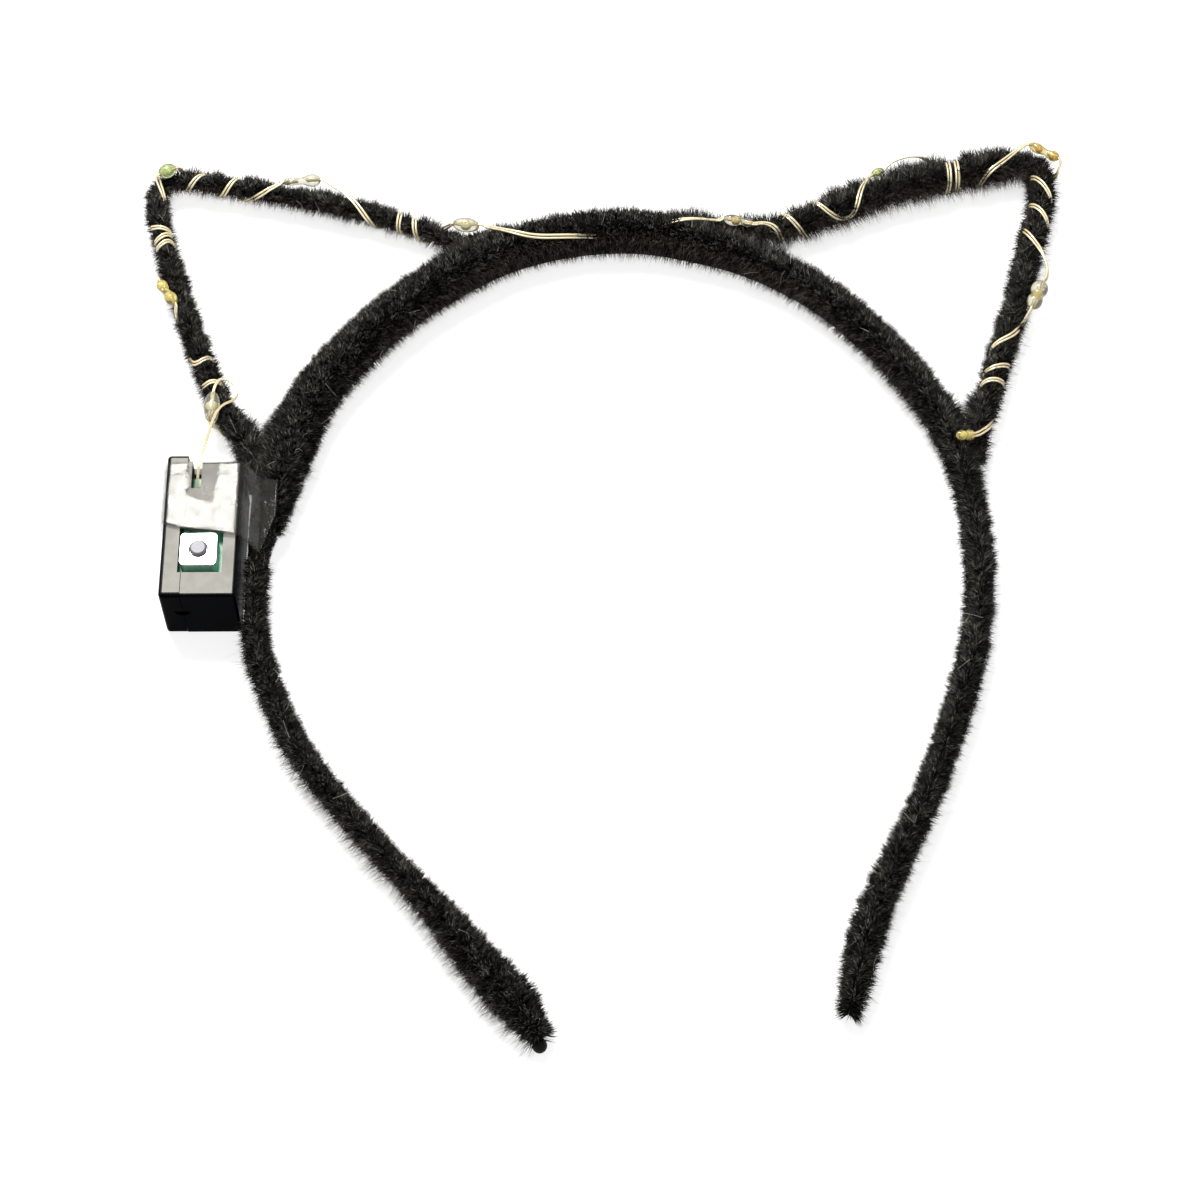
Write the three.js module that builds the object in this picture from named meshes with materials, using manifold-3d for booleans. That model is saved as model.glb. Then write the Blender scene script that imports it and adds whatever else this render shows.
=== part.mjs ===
// Light-up cat ear headband: a plush-covered hoop with two plush-covered wire ears, a string of
// battery lights wound round the ears, and the lights' battery case taped to the hoop.
// It lies flat. Millimetres, +Z up, the open end of the hoop towards -Y, the ears towards +Y.
import * as THREE from "three";
import { mergeVertices } from "three/addons/utils/BufferGeometryUtils.js";
import Module from "manifold-3d";

const wasm = await Module();
wasm.setup();

// Driving sizes of the plush parts
const bandSpan = 126; // centre line to centre line, at the widest
const bandReach = 157; // crown's centre line to the left tip
const bandThick = 8.8; // the padding at its fattest, along the surface that it lies on
const bandTall = 8.8; // the band at its tallest
const earLeftRise = 52.5; // from the line between its feet to its tip
const earRightRise = 51.5;
const earThick = 4; // a plush-covered wire of an ear
const earHeight = 3.4; // its centre above the surface
const tuftDepth = 0.3; // how deep the pile's lumps go
const tuftStep = 3.2; // how often the pile's lumps come along a strand
const roundEnd = 0.8; // how far a strand's round end reaches, as a share of its half thickness
const tipCapThick = 2.6;

// Driving sizes of the lights
const wireWide = 0.95; // two enamelled wires side by side
const wireThick = 0.4;
const wireBow = 3; // how far the loosest bow of the wire can stand off
const beadThick = 2.4; // a common drop of resin
const beadNeck = 0.28; // the resin's radius between two blobs
const clearance = 0.3; // between any two pieces

// Driving sizes of the battery case: it fits three button cells of 11.6 mm
const caseLong = 26.5;
const caseHigh = 13.2;
const caseWide = 13;
const caseWall = 1.2;
const coverWide = 3.4;
const coverLip = 1.4; // how far the cover stands out past the body at the wire's end
const seam = 0.3;
const caseBelowEar = 2.6; // from the end of the left ear's outer foot to the case
const boardThick = 1;
const boardDepth = 3.2; // from the case's face down to the board
const windowLong = 8.9;
const windowWide = 7.5;
const windowShare = 0.66; // middle of the window along the case, from the wire's end
const windowInCover = 0.4; // how far the window is cut into the cover
const switchSide = 6.2;
const switchProud = 0.2;
const switchRound = 0.8;
const buttonThick = 2.8;
const buttonTop = 2.6; // its width at the top
const buttonProud = 0.7;
const buttonTravel = 0.25;
const buttonSeat = 0.75;
const slotWide = 1.7;
const slotLong = 5.4;
const slotPastSeam = 0.7;
const notchRadius = 1.4;
const notchDeep = 0.6;
const notchShare = 0.58; // height of the thumb notch on the case
const tapeThick = 0.3;
const filletSides = 5;

// The band from the left tip over the crown to the right tip. across: share of half the span.
// along: share of the reach, down from the crown. thick and tall: shares of the band's sizes.
const bandRows = [
  { across: -0.214, along: 0.986, thick: 0.35, tall: 0.55 },
  { across: -0.258, along: 0.961, thick: 0.66, tall: 0.76 },
  { across: -0.336, along: 0.925, thick: 0.61, tall: 0.77 },
  { across: -0.469, along: 0.859, thick: 0.48, tall: 0.77 },
  { across: -0.612, along: 0.792, thick: 0.48, tall: 0.77 },
  { across: -0.755, along: 0.723, thick: 0.48, tall: 0.77 },
  { across: -0.856, along: 0.664, thick: 0.48, tall: 0.77 },
  { across: -0.929, along: 0.599, thick: 0.48, tall: 0.77 },
  { across: -0.974, along: 0.541, thick: 0.48, tall: 0.8 },
  { across: -0.985, along: 0.481, thick: 0.43, tall: 0.84 },
  { across: -0.98, along: 0.427, thick: 0.5, tall: 0.89 },
  { across: -0.953, along: 0.366, thick: 0.85, tall: 0.93 },
  { across: -0.912, along: 0.299, thick: 0.97, tall: 0.98 },
  { across: -0.853, along: 0.232, thick: 0.99, tall: 1 },
  { across: -0.744, along: 0.168, thick: 0.99, tall: 1 },
  { across: -0.588, along: 0.101, thick: 0.98, tall: 1 },
  { across: -0.434, along: 0.054, thick: 0.8, tall: 0.98 },
  { across: -0.283, along: 0.024, thick: 0.66, tall: 0.95 },
  { across: -0.093, along: 0.004, thick: 0.65, tall: 0.95 },
  { across: 0.098, along: 0.002, thick: 0.65, tall: 0.95 },
  { across: 0.272, along: 0.019, thick: 0.65, tall: 0.95 },
  { across: 0.431, along: 0.048, thick: 0.66, tall: 0.95 },
  { across: 0.593, along: 0.089, thick: 0.72, tall: 0.95 },
  { across: 0.756, along: 0.157, thick: 0.72, tall: 0.95 },
  { across: 0.885, along: 0.232, thick: 0.66, tall: 0.91 },
  { across: 0.956, along: 0.299, thick: 0.52, tall: 0.86 },
  { across: 0.991, along: 0.376, thick: 0.48, tall: 0.82 },
  { across: 0.999, along: 0.465, thick: 0.48, tall: 0.77 },
  { across: 0.969, along: 0.547, thick: 0.48, tall: 0.77 },
  { across: 0.901, along: 0.638, thick: 0.48, tall: 0.77 },
  { across: 0.815, along: 0.728, thick: 0.48, tall: 0.77 },
  { across: 0.715, along: 0.811, thick: 0.52, tall: 0.77 },
  { across: 0.644, along: 0.876, thick: 0.59, tall: 0.77 },
  { across: 0.606, along: 0.933, thick: 0.5, tall: 0.73 },
  { across: 0.59, along: 0.96, thick: 0.36, tall: 0.6 },
];

// An ear's feet lie beside the band. at: share of the band's length. thick: share of earThick.
const earLeftFeet = [
  { at: 0.3, thick: 0.85 },
  { at: 0.311, thick: 0.95 },
  { at: 0.452, thick: 0.75 },
  { at: 0.468, thick: 0.6 },
];
const earRightFeet = [
  { at: 0.548, thick: 0.6 },
  { at: 0.567, thick: 0.8 },
  { at: 0.722, thick: 0.8 },
  { at: 0.729, thick: 0.5 },
];

// An ear between its feet. across: share of the line from its first foot to its second.
// out: share of its rise.
const earLeftRows = [
  { across: 0.053, out: 0.155, thick: 1 },
  { across: 0.122, out: 0.321, thick: 0.88 },
  { across: 0.26, out: 0.58, thick: 0.85 },
  { across: 0.404, out: 0.829, thick: 0.82 },
  { across: 0.499, out: 0.964, thick: 0.8 },
  { across: 0.545, out: 1, thick: 0.8 },
  { across: 0.59, out: 0.989, thick: 0.8 },
  { across: 0.682, out: 0.83, thick: 0.85 },
  { across: 0.818, out: 0.546, thick: 0.9 },
  { across: 0.927, out: 0.263, thick: 0.85 },
  { across: 0.965, out: 0.13, thick: 0.8 },
];
const earRightRows = [
  { across: 0.12, out: 0.175, thick: 1 },
  { across: 0.162, out: 0.308, thick: 1.25 },
  { across: 0.214, out: 0.517, thick: 1.35 },
  { across: 0.299, out: 0.716, thick: 1.35 },
  { across: 0.393, out: 0.905, thick: 1.3 },
  { across: 0.445, out: 1, thick: 1.15 },
  { across: 0.499, out: 0.996, thick: 1 },
  { across: 0.577, out: 0.889, thick: 1 },
  { across: 0.673, out: 0.701, thick: 1 },
  { across: 0.77, out: 0.51, thick: 1 },
  { across: 0.857, out: 0.308, thick: 1 },
  { across: 0.918, out: 0.176, thick: 0.95 },
];

// The drops of resin in the order of the string. on, at, turn: the strand, the share of its length
// and the degrees round it, 0 on the outer side and 90 on top. off: how far the drop stands off the
// strand, as a share of wireBow. yaw and tilt: its axis to the strand, in degrees. Each blob has its
// place on the axis, its radius and its half length as shares of half beadThick.
const beadRows = [
  { on: "left", at: 0.1154, turn: 53, off: 0.1, yaw: 152, tilt: 0, blobs: [[0, 1, 2.33]] },
  {
    on: "left", at: 0.3146, turn: 44, off: 0.1, yaw: 14, tilt: 0,
    blobs: [[-1.3, 0.88, 1.25], [1.3, 0.8, 0.92]],
  },
  { on: "left", at: 0.5165, turn: 82, off: 0.1, yaw: 10, tilt: 0, blobs: [[0, 1.08, 1.35]] },
  {
    on: "left", at: 0.7005, turn: 30, off: 0.24, yaw: 17, tilt: 0,
    blobs: [[-1.6, 0.45, 1.15], [1.45, 0.88, 1.1]],
  },
  { on: "left", at: 0.946, turn: 50, off: 0.46, yaw: -2, tilt: 0, blobs: [[0, 1, 1.88]] },
  {
    on: "right", at: 0.0734, turn: 78, off: 0.12, yaw: -10, tilt: 0,
    blobs: [[-0.5, 0.8, 1.42], [1.65, 0.62, 0.75]],
  },
  { on: "right", at: 0.2931, turn: 35, off: 0.12, yaw: 6, tilt: 0, blobs: [[0, 0.7, 0.95]] },
  {
    on: "right", at: 0.5109, turn: 40, off: 0.2, yaw: 12, tilt: 0,
    blobs: [[-1.3, 0.75, 1.35], [1.45, 0.84, 0.92]],
  },
  {
    on: "right", at: 0.736, turn: 35, off: 0.12, yaw: -7, tilt: 0,
    blobs: [[-1.1, 1.17, 1.25], [1.15, 1.04, 1.12]],
  },
  {
    on: "band", at: 0.7235, turn: 65, off: 0.15, yaw: -85, tilt: 30,
    blobs: [[-0.67, 0.67, 0.84], [0.67, 0.62, 0.84]],
  },
];

// The wire's way from the end of its slot to the left ear. along and down: shares of the way there
// and of the drop. right: how far it bows to the right, as a share of wireBow.
const leadRoute = [
  { along: 0.103, down: 0.083, right: 0.14 },
  { along: 0.37, down: 0.262, right: -0.01 },
  { along: 0.552, down: 0.497, right: -0.07 },
  { along: 0.77, down: 0.746, right: -0.17 },
];

// The wire's way up to each bead, as [strand, share of its length, degrees round it, stand-off as a
// share of wireBow]. The degrees run on past a full turn where the wire is wound round the strand.
const wireRoute = [
  [
    ["left", 0.1145, 92, 0.03], ["left", 0.113, 112, 0.03], ["left", 0.1175, 140, 0.1],
    ["left", 0.1237, 165, 0.17], ["left", 0.1273, 165, 0.4], ["left", 0.1395, 165, 0.47],
    ["left", 0.1465, 160, 0.37], ["left", 0.1535, 150, 0.2], ["left", 0.154, 128, 0.1],
    ["left", 0.15, 100, 0.2],
  ],
  [
    ["left", 0.084, 10, 0.1], ["left", 0.09, -40, 0], ["left", 0.118, -130, 0],
    ["left", 0.1576, -238, 0], ["left", 0.1529, -312, 0], ["left", 0.1995, -586, 0],
    ["left", 0.1879, -658, 0], ["left", 0.215, -735, 0], ["left", 0.25, -750, 0],
    ["left", 0.2765, -700, 0], ["left", 0.285, -692, 0.05],
  ],
  [
    ["left", 0.352, -5, 0.05], ["left", 0.372, -110, 0], ["left", 0.3996, -228, 0],
    ["left", 0.3914, -308, 0], ["left", 0.411, -588, 0], ["left", 0.403, -668, 0],
    ["left", 0.42, -966, 0], ["left", 0.4265, -1032, 0], ["left", 0.4664, -1284, 0],
    ["left", 0.489, -1307, 0], ["left", 0.502, -1370, 0.05],
  ],
  [
    ["left", 0.535, 30, 0.05], ["left", 0.531, -50, 0], ["left", 0.5408, -155, 0],
    ["left", 0.5606, -301, 0], ["left", 0.594, -537, 0], ["left", 0.6077, -645, 0],
    ["left", 0.6201, -866, 0], ["left", 0.6408, -916, 0], ["left", 0.6579, -982, 0],
    ["left", 0.6725, -1041, 0],
  ],
  [
    ["left", 0.7448, 40, 0.47], ["left", 0.7605, 42, 0.27], ["left", 0.7855, 87, 0],
    ["left", 0.8034, 140, 0], ["left", 0.8167, 209, 0], ["left", 0.8445, 400, 0],
    ["left", 0.8515, 534, 0], ["left", 0.864, 757, 0], ["left", 0.878, 887, 0],
    ["left", 0.905, 1085, 0.1], ["left", 0.9183, 1130, 0.33],
  ],
  [
    ["left", 0.98, 50, 0.23], ["band", 0.4663, 66, 0.05], ["band", 0.4736, 106, 0.05],
    ["band", 0.4831, 127, 0.03], ["band", 0.4968, 140, 0.03], ["band", 0.506, 143, 0.03],
    ["band", 0.526, 118, 0.03], ["band", 0.5467, 77, 0.03], ["band", 0.5555, 46, 0.05],
    ["right", 0.0548, 60, 0.08],
  ],
  [
    ["right", 0.1104, 71, 0.08], ["right", 0.1298, 119, 0], ["right", 0.14, 395, 0.2],
    ["right", 0.1561, 482, 0], ["right", 0.1899, 755, 0.2], ["right", 0.1976, 798, 0],
    ["right", 0.2088, 857, 0], ["right", 0.2239, 895, 0], ["right", 0.2359, 873, 0.03],
    ["right", 0.2421, 847, 0], ["right", 0.2614, 790, 0], ["right", 0.2767, 757, 0.1],
  ],
  [
    ["right", 0.3075, 35, 0.42], ["right", 0.3173, 35, 0.7], ["right", 0.3348, 35, 0.73],
    ["right", 0.3523, 35, 0.63], ["right", 0.367, 30, 0.27], ["right", 0.3772, -100, 0],
    ["right", 0.3836, -228, 0], ["right", 0.3899, -323, 0], ["right", 0.3956, -588, 0],
    ["right", 0.4018, -685, 0], ["right", 0.4377, -961, 0], ["right", 0.4546, -968, 0],
    ["right", 0.4708, -986, 0], ["right", 0.49, -1035, 0.1],
  ],
  [
    ["right", 0.532, 20, 0.3], ["right", 0.5248, -60, 0.05], ["right", 0.5316, -219, 0],
    ["right", 0.5463, -255, 0], ["right", 0.5562, -284, 0], ["right", 0.5697, -308, 0],
    ["right", 0.5871, -596, 0], ["right", 0.5945, -629, 0], ["right", 0.6037, -657, 0],
    ["right", 0.6093, -672, 0], ["right", 0.6251, -915, 0], ["right", 0.6446, -980, 0],
    ["right", 0.6567, -1023, 0], ["right", 0.6668, -1055, 0.23], ["right", 0.6876, -1055, 0.67],
    ["right", 0.7026, -1055, 0.7], ["right", 0.7108, -1050, 0.5],
  ],
  [
    ["right", 0.7656, 20, 0.05], ["right", 0.7788, 18, 0], ["right", 0.8017, 55, 0],
    ["right", 0.8173, 94, 0], ["right", 0.8315, 138, 0], ["right", 0.8535, 406, 0],
    ["right", 0.8692, 478, 0], ["right", 0.8815, 772, 0], ["right", 0.8907, 859, 0],
    ["right", 0.9276, 1085, 0], ["right", 0.9533, 1109, 0], ["right", 0.9665, 1135, 0.1],
  ],
];

// The tape's fold lines from the case's outer side over its face to the band's pile. from: the side
// or seam of the case that a line is measured from. past: shares of the band's thickness beyond it.
// down: share of the way from the case's face down to the pile, or below 0 down the case's side.
// far and near: the line's two ends, as shares of the case's length from the wire's end.
const tapeRows = [
  { from: "outside", past: 0, down: -0.65, far: 0.02, near: 0.47 },
  { from: "outside", past: 0, down: -0.04, far: 0.02, near: 0.47 },
  { from: "corner", past: 0, down: 0, far: 0.02, near: 0.47 },
  { from: "seam", past: 0, down: 0, far: 0.01, near: 0.52 },
  { from: "inside", past: 0, down: 0, far: 0.01, near: 0.57 },
  { from: "inside", past: 0.14, down: 0.35, far: 0.02, near: 0.58 },
  { from: "inside", past: 0.34, down: 0.92, far: 0.03, near: 0.6 },
  { from: "inside", past: 0.62, down: 1, far: 0.05, near: 0.3 },
];

// Colours, roughness and metalness
const finishes = {
  plush: { color: 0x15130f, roughness: 0.95 },
  nub: { color: 0x1b1a19, roughness: 0.45 },
  wire: { color: 0xcdb27a, roughness: 0.3, metalness: 0.9 },
  resin: { color: 0xe6e2c4, roughness: 0.12 },
  black: { color: 0x161718, roughness: 0.25 },
  board: { color: 0x2f8a64, roughness: 0.4 },
  steel: { color: 0xe4e6e8, roughness: 0.25, metalness: 0.8 },
  button: { color: 0x8f9298, roughness: 0.4 },
  tape: { color: 0xe9e6d8, roughness: 0.1 },
};

const object = new THREE.Group();
const up = new THREE.Vector3(0, 0, 1);
const degrees = THREE.MathUtils.degToRad;
const mix = THREE.MathUtils.lerp;

// Adds a geometry to the object as a named mesh with a material of its own.
function addPiece(name, geometry, finish) {
  const mesh = new THREE.Mesh(geometry, new THREE.MeshStandardMaterial(finishes[finish]));
  mesh.name = name;
  object.add(mesh);
  return mesh;
}

// Centripetal Catmull-Rom through rows of numbers whose first three are x, y and z.
function smooth(rows, share) {
  const place = share * (rows.length - 1);
  const i = Math.min(Math.floor(place), rows.length - 2);
  const w = place - i;
  const b = rows[i];
  const c = rows[i + 1];
  const beyond = (p, q) => p.map((value, k) => 2 * value - q[k]);
  const a = i > 0 ? rows[i - 1] : beyond(b, c);
  const d = i + 2 < rows.length ? rows[i + 2] : beyond(c, b);
  const knot = (p, q) => Math.max(Math.hypot(p[0] - q[0], p[1] - q[1], p[2] - q[2]) ** 0.5, 1e-4);
  const [ab, bc, cd] = [knot(a, b), knot(b, c), knot(c, d)];
  return b.map((value, k) => {
    const slope = c[k] - value;
    const m1 = ((value - a[k]) / ab - (c[k] - a[k]) / (ab + bc) + slope / bc) * bc;
    const m2 = (slope / bc - (d[k] - value) / (bc + cd) + (d[k] - c[k]) / cd) * bc;
    return (m1 + m2 - 2 * slope) * w ** 3 + (3 * slope - 2 * m1 - m2) * w ** 2 + m1 * w + value;
  });
}

// A strand: a centre line with a half thickness and a half height at each point.
class Strand {
  constructor(rows) {
    const samples = 1600;
    this.points = Array.from({ length: samples + 1 }, (_, i) => smooth(rows, i / samples));
    this.lengths = [0];
    for (let i = 1; i <= samples; i++) {
      const [p, q] = [this.points[i - 1], this.points[i]];
      this.lengths.push(this.lengths[i - 1] + Math.hypot(q[0] - p[0], q[1] - p[1], q[2] - p[2]));
    }
    this.length = this.lengths[samples];
  }
  at(share) {
    const goal = THREE.MathUtils.clamp(share, 0, 1) * this.length;
    let low = 0;
    let high = this.lengths.length - 1;
    while (high - low > 1) {
      const middle = (low + high) >> 1;
      if (this.lengths[middle] <= goal) low = middle;
      else high = middle;
    }
    const w = (goal - this.lengths[low]) / (this.lengths[high] - this.lengths[low]);
    const [x, y, z, thick, tall] = this.points[low].map((v, k) => mix(v, this.points[high][k], w));
    return { centre: new THREE.Vector3(x, y, z), thick, tall };
  }
  along(share) {
    const step = 2e-3;
    return this.at(share + step).centre.sub(this.at(share - step).centre).normalize();
  }
  outward(share) {
    return new THREE.Vector3().crossVectors(up, this.along(share)).normalize();
  }
  // The direction away from the strand's middle at so many degrees round it
  away(share, turn) {
    const outward = this.outward(share).multiplyScalar(Math.cos(degrees(turn)));
    return outward.addScaledVector(up, Math.sin(degrees(turn)));
  }
  surface(share, turn, off) {
    const { centre, thick, tall } = this.at(share);
    centre.addScaledVector(this.outward(share), Math.cos(degrees(turn)) * (thick + off));
    return centre.addScaledVector(up, Math.sin(degrees(turn)) * (tall + off));
  }
}

// Closes rings of points into one body, with a point at each end.
function closeRings(first, rings, last) {
  const sides = rings[0].length;
  const points = [first, ...rings.flat(), last];
  const end = points.length - 1;
  const faces = [];
  for (let j = 0; j < sides; j++) {
    const next = (j + 1) % sides;
    faces.push(0, 1 + next, 1 + j);
    for (let i = 0; i + 1 < rings.length; i++) {
      const [p, q] = [1 + i * sides, 1 + (i + 1) * sides];
      faces.push(p + j, p + next, q + next, p + j, q + next, q + j);
    }
    const p = 1 + (rings.length - 1) * sides;
    faces.push(p + j, p + next, end);
  }
  return body(points, faces);
}

// A geometry of points and faces, with its faces turned to point out
function body(points, faces) {
  let volume = 0;
  for (let i = 0; i < faces.length; i += 3) {
    const [a, b, c] = [points[faces[i]], points[faces[i + 1]], points[faces[i + 2]]];
    volume += a.dot(new THREE.Vector3().crossVectors(b, c));
  }
  if (volume < 0) faces.reverse();
  const geometry = new THREE.BufferGeometry().setFromPoints(points);
  geometry.setIndex(faces);
  geometry.computeVertexNormals();
  return geometry;
}

// A plush-covered strand with round ends: its pile stands in lumps, and its underside is even.
function plush(strand, sides) {
  const steps = Math.round(strand.length / tuftStep);
  const ring = (share, size, shift, row) => {
    const { centre, thick, tall } = strand.at(share);
    centre.addScaledVector(strand.along(share), shift);
    const outward = strand.outward(share);
    return Array.from({ length: sides }, (_, j) => {
      const angle = ((j + 0.5) / sides) * 2 * Math.PI;
      const lump = Math.sin(angle) < -0.4 ? 0 : 0.5 + 0.5 * Math.sin(2.4 * row + 1.7 * j);
      const deep = tuftDepth * lump;
      const point = centre.clone().addScaledVector(outward, Math.cos(angle) * (thick - deep) * size);
      return point.addScaledVector(up, Math.sin(angle) * (tall - deep) * size);
    });
  };
  const round = [25, 55];
  const rings = [];
  const reach = (share) => strand.at(share).thick * roundEnd;
  for (const angle of [...round].reverse()) {
    rings.push(ring(0, Math.cos(degrees(angle)), -reach(0) * Math.sin(degrees(angle)), 0));
  }
  for (let i = 0; i <= steps; i++) rings.push(ring(i / steps, 1, 0, i));
  for (const angle of round) {
    rings.push(ring(1, Math.cos(degrees(angle)), reach(1) * Math.sin(degrees(angle)), steps));
  }
  const first = strand.at(0).centre.addScaledVector(strand.along(0), -reach(0));
  const last = strand.at(1).centre.addScaledVector(strand.along(1), reach(1));
  return closeRings(first, rings, last);
}

// The band
const bandSides = 12;
const bandFlat = Math.cos(Math.PI / bandSides); // the lowest side of its section lies on the surface
const band = new Strand(
  bandRows.map(({ across, along, thick, tall }) => {
    const [halfThick, halfTall] = [(thick * bandThick) / 2, (tall * bandTall) / 2];
    const [x, y] = [(across * bandSpan) / 2, -along * bandReach];
    return [x, y, halfTall * bandFlat, halfThick, halfTall];
  }),
);
addPiece("band", plush(band, bandSides), "plush");

// The dark nub at the left tip
function addTipCap() {
  const radius = tipCapThick / 2;
  const cap = addPiece("left_tip_cap", new THREE.SphereGeometry(radius, 12, 8), "nub");
  const start = band.at(0);
  const reach = start.thick * roundEnd + clearance + radius;
  cap.position.copy(start.centre).addScaledVector(band.along(0), -reach);
}
addTipCap();

// An ear: its feet lie beside the band and its rows stand on the line between them.
function earStrand(feet, rows, rise) {
  const beside = ({ at, thick }) => {
    const half = (thick * earThick) / 2;
    const spot = band.at(at);
    spot.centre.addScaledVector(band.outward(at), spot.thick + clearance + half);
    return [spot.centre.x, spot.centre.y, earHeight, half, half];
  };
  const [end, foot, otherFoot, otherEnd] = feet.map(beside);
  const chord = [otherFoot[0] - foot[0], otherFoot[1] - foot[1]];
  const length = Math.hypot(...chord);
  const middle = rows.map(({ across, out, thick }) => {
    const half = (thick * earThick) / 2;
    const x = foot[0] + across * chord[0] - (out * rise * chord[1]) / length;
    const y = foot[1] + across * chord[1] + (out * rise * chord[0]) / length;
    return [x, y, earHeight, half, half];
  });
  return new Strand([end, foot, ...middle, otherFoot, otherEnd]);
}
const strands = {
  band,
  left: earStrand(earLeftFeet, earLeftRows, earLeftRise),
  right: earStrand(earRightFeet, earRightRows, earRightRise),
};
const earSides = 10;
addPiece("ear_left", plush(strands.left, earSides), "plush");
addPiece("ear_right", plush(strands.right, earSides), "plush");

// The battery case: its body is beside the band, below the left ear's outer foot.
const caseEnd = strands.left.at(0).centre.y - caseBelowEar;
function outerEdge(low, high) {
  let edge = 0;
  for (let i = 0; i < band.points.length; i++) {
    const [x, y, , thick] = band.points[i];
    if (x < 0 && y > low && y < high) edge = Math.min(edge, x - thick);
  }
  return edge;
}
const caseEast = outerEdge(caseEnd - caseLong, caseEnd + coverLip) - clearance;
const caseWest = caseEast - caseWide;
const seamEast = caseWest + coverWide + seam;
const caseSouth = caseEnd - caseLong;
const windowMiddle = caseEnd - windowShare * caseLong;
const windowWest = seamEast - seam - windowInCover;
const windowEast = windowWest + windowWide;
const slotMiddle = seamEast + slotPastSeam + slotWide / 2;
const boardTop = caseHigh - boardDepth;
const pastCut = 1; // a cutter stands out this far past the face that it cuts

// A solid of the boolean library from a geometry
function solid(geometry) {
  const bare = geometry.clone();
  for (const name of ["normal", "uv"]) bare.deleteAttribute(name);
  const merged = mergeVertices(bare, 1e-4);
  return new wasm.Manifold(
    new wasm.Mesh({
      numProp: 3,
      vertProperties: merged.attributes.position.array,
      triVerts: new Uint32Array(merged.index.array),
    }),
  );
}

function geometryOf(manifold) {
  const mesh = manifold.getMesh();
  const geometry = new THREE.BufferGeometry();
  geometry.setAttribute("position", new THREE.BufferAttribute(new Float32Array(mesh.vertProperties), 3));
  geometry.setIndex(Array.from(mesh.triVerts));
  const flat = geometry.toNonIndexed();
  flat.computeVertexNormals();
  return flat;
}

// A box from its low corner to its high corner
function block([x0, y0, z0], [x1, y1, z1]) {
  const geometry = new THREE.BoxGeometry(x1 - x0, y1 - y0, z1 - z0);
  return solid(geometry.translate((x0 + x1) / 2, (y0 + y1) / 2, (z0 + z1) / 2));
}

// An outline of a square with round corners, its middle at the origin
function roundSquare(side, radius) {
  const half = side / 2;
  const shape = new THREE.Shape();
  shape.moveTo(half - radius, -half);
  shape.absarc(half - radius, -half + radius, radius, -Math.PI / 2, 0);
  shape.absarc(half - radius, half - radius, radius, 0, Math.PI / 2);
  shape.absarc(-half + radius, half - radius, radius, Math.PI / 2, Math.PI);
  shape.absarc(-half + radius, -half + radius, radius, Math.PI, 1.5 * Math.PI);
  return shape;
}

// The half-round notch for a thumb, cut into the case's near end across the seam
function thumbNotch() {
  const shape = new THREE.Shape();
  shape.absarc(0, 0, notchRadius, Math.PI, 2 * Math.PI);
  const depth = 2 * notchDeep;
  const cutter = new THREE.ExtrudeGeometry(shape, { depth, bevelEnabled: false, curveSegments: 8 });
  cutter.rotateX(Math.PI / 2);
  return solid(cutter.translate(seamEast - seam / 2, caseSouth + notchDeep, notchShare * caseHigh));
}

function addCaseBody() {
  let shell = block([seamEast, caseSouth, 0], [caseEast, caseEnd, caseHigh]);
  const hollow = block(
    [seamEast - pastCut, caseSouth + caseWall, caseWall],
    [caseEast - caseWall, caseEnd - caseWall, caseHigh - caseWall],
  );
  const window = block(
    [seamEast - pastCut, windowMiddle - windowLong / 2, caseHigh - 2 * caseWall],
    [windowEast, windowMiddle + windowLong / 2, caseHigh + pastCut],
  );
  const slot = block(
    [slotMiddle - slotWide / 2, caseEnd - slotLong, caseHigh - 2 * caseWall],
    [slotMiddle + slotWide / 2, caseEnd + pastCut, caseHigh + pastCut],
  );
  shell = shell.subtract(hollow).subtract(window).subtract(slot).subtract(thumbNotch());
  addPiece("case_body", geometryOf(shell), "black");
}
addCaseBody();

function addCaseCover() {
  const seamWest = seamEast - seam;
  let shell = block([caseWest, caseSouth, 0], [seamWest, caseEnd + coverLip, caseHigh]);
  const hollow = block(
    [caseWest + caseWall, caseSouth + caseWall, caseWall],
    [seamWest + pastCut, caseEnd - caseWall, caseHigh - caseWall],
  );
  const window = block(
    [windowWest, windowMiddle - windowLong / 2, caseHigh - 2 * caseWall],
    [seamWest + pastCut, windowMiddle + windowLong / 2, caseHigh + pastCut],
  );
  shell = shell.subtract(hollow).subtract(window).subtract(thumbNotch());
  addPiece("case_cover", geometryOf(shell), "black");
}
addCaseCover();

function addBoard() {
  const room = caseWall + clearance;
  const [wide, long] = [caseWide - 2 * room, caseLong - 2 * room];
  const board = addPiece("circuit_board", new THREE.BoxGeometry(wide, long, boardThick), "board");
  board.position.set(caseWest + caseWide / 2, caseSouth + caseLong / 2, boardTop - boardThick / 2);
}
addBoard();

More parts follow.
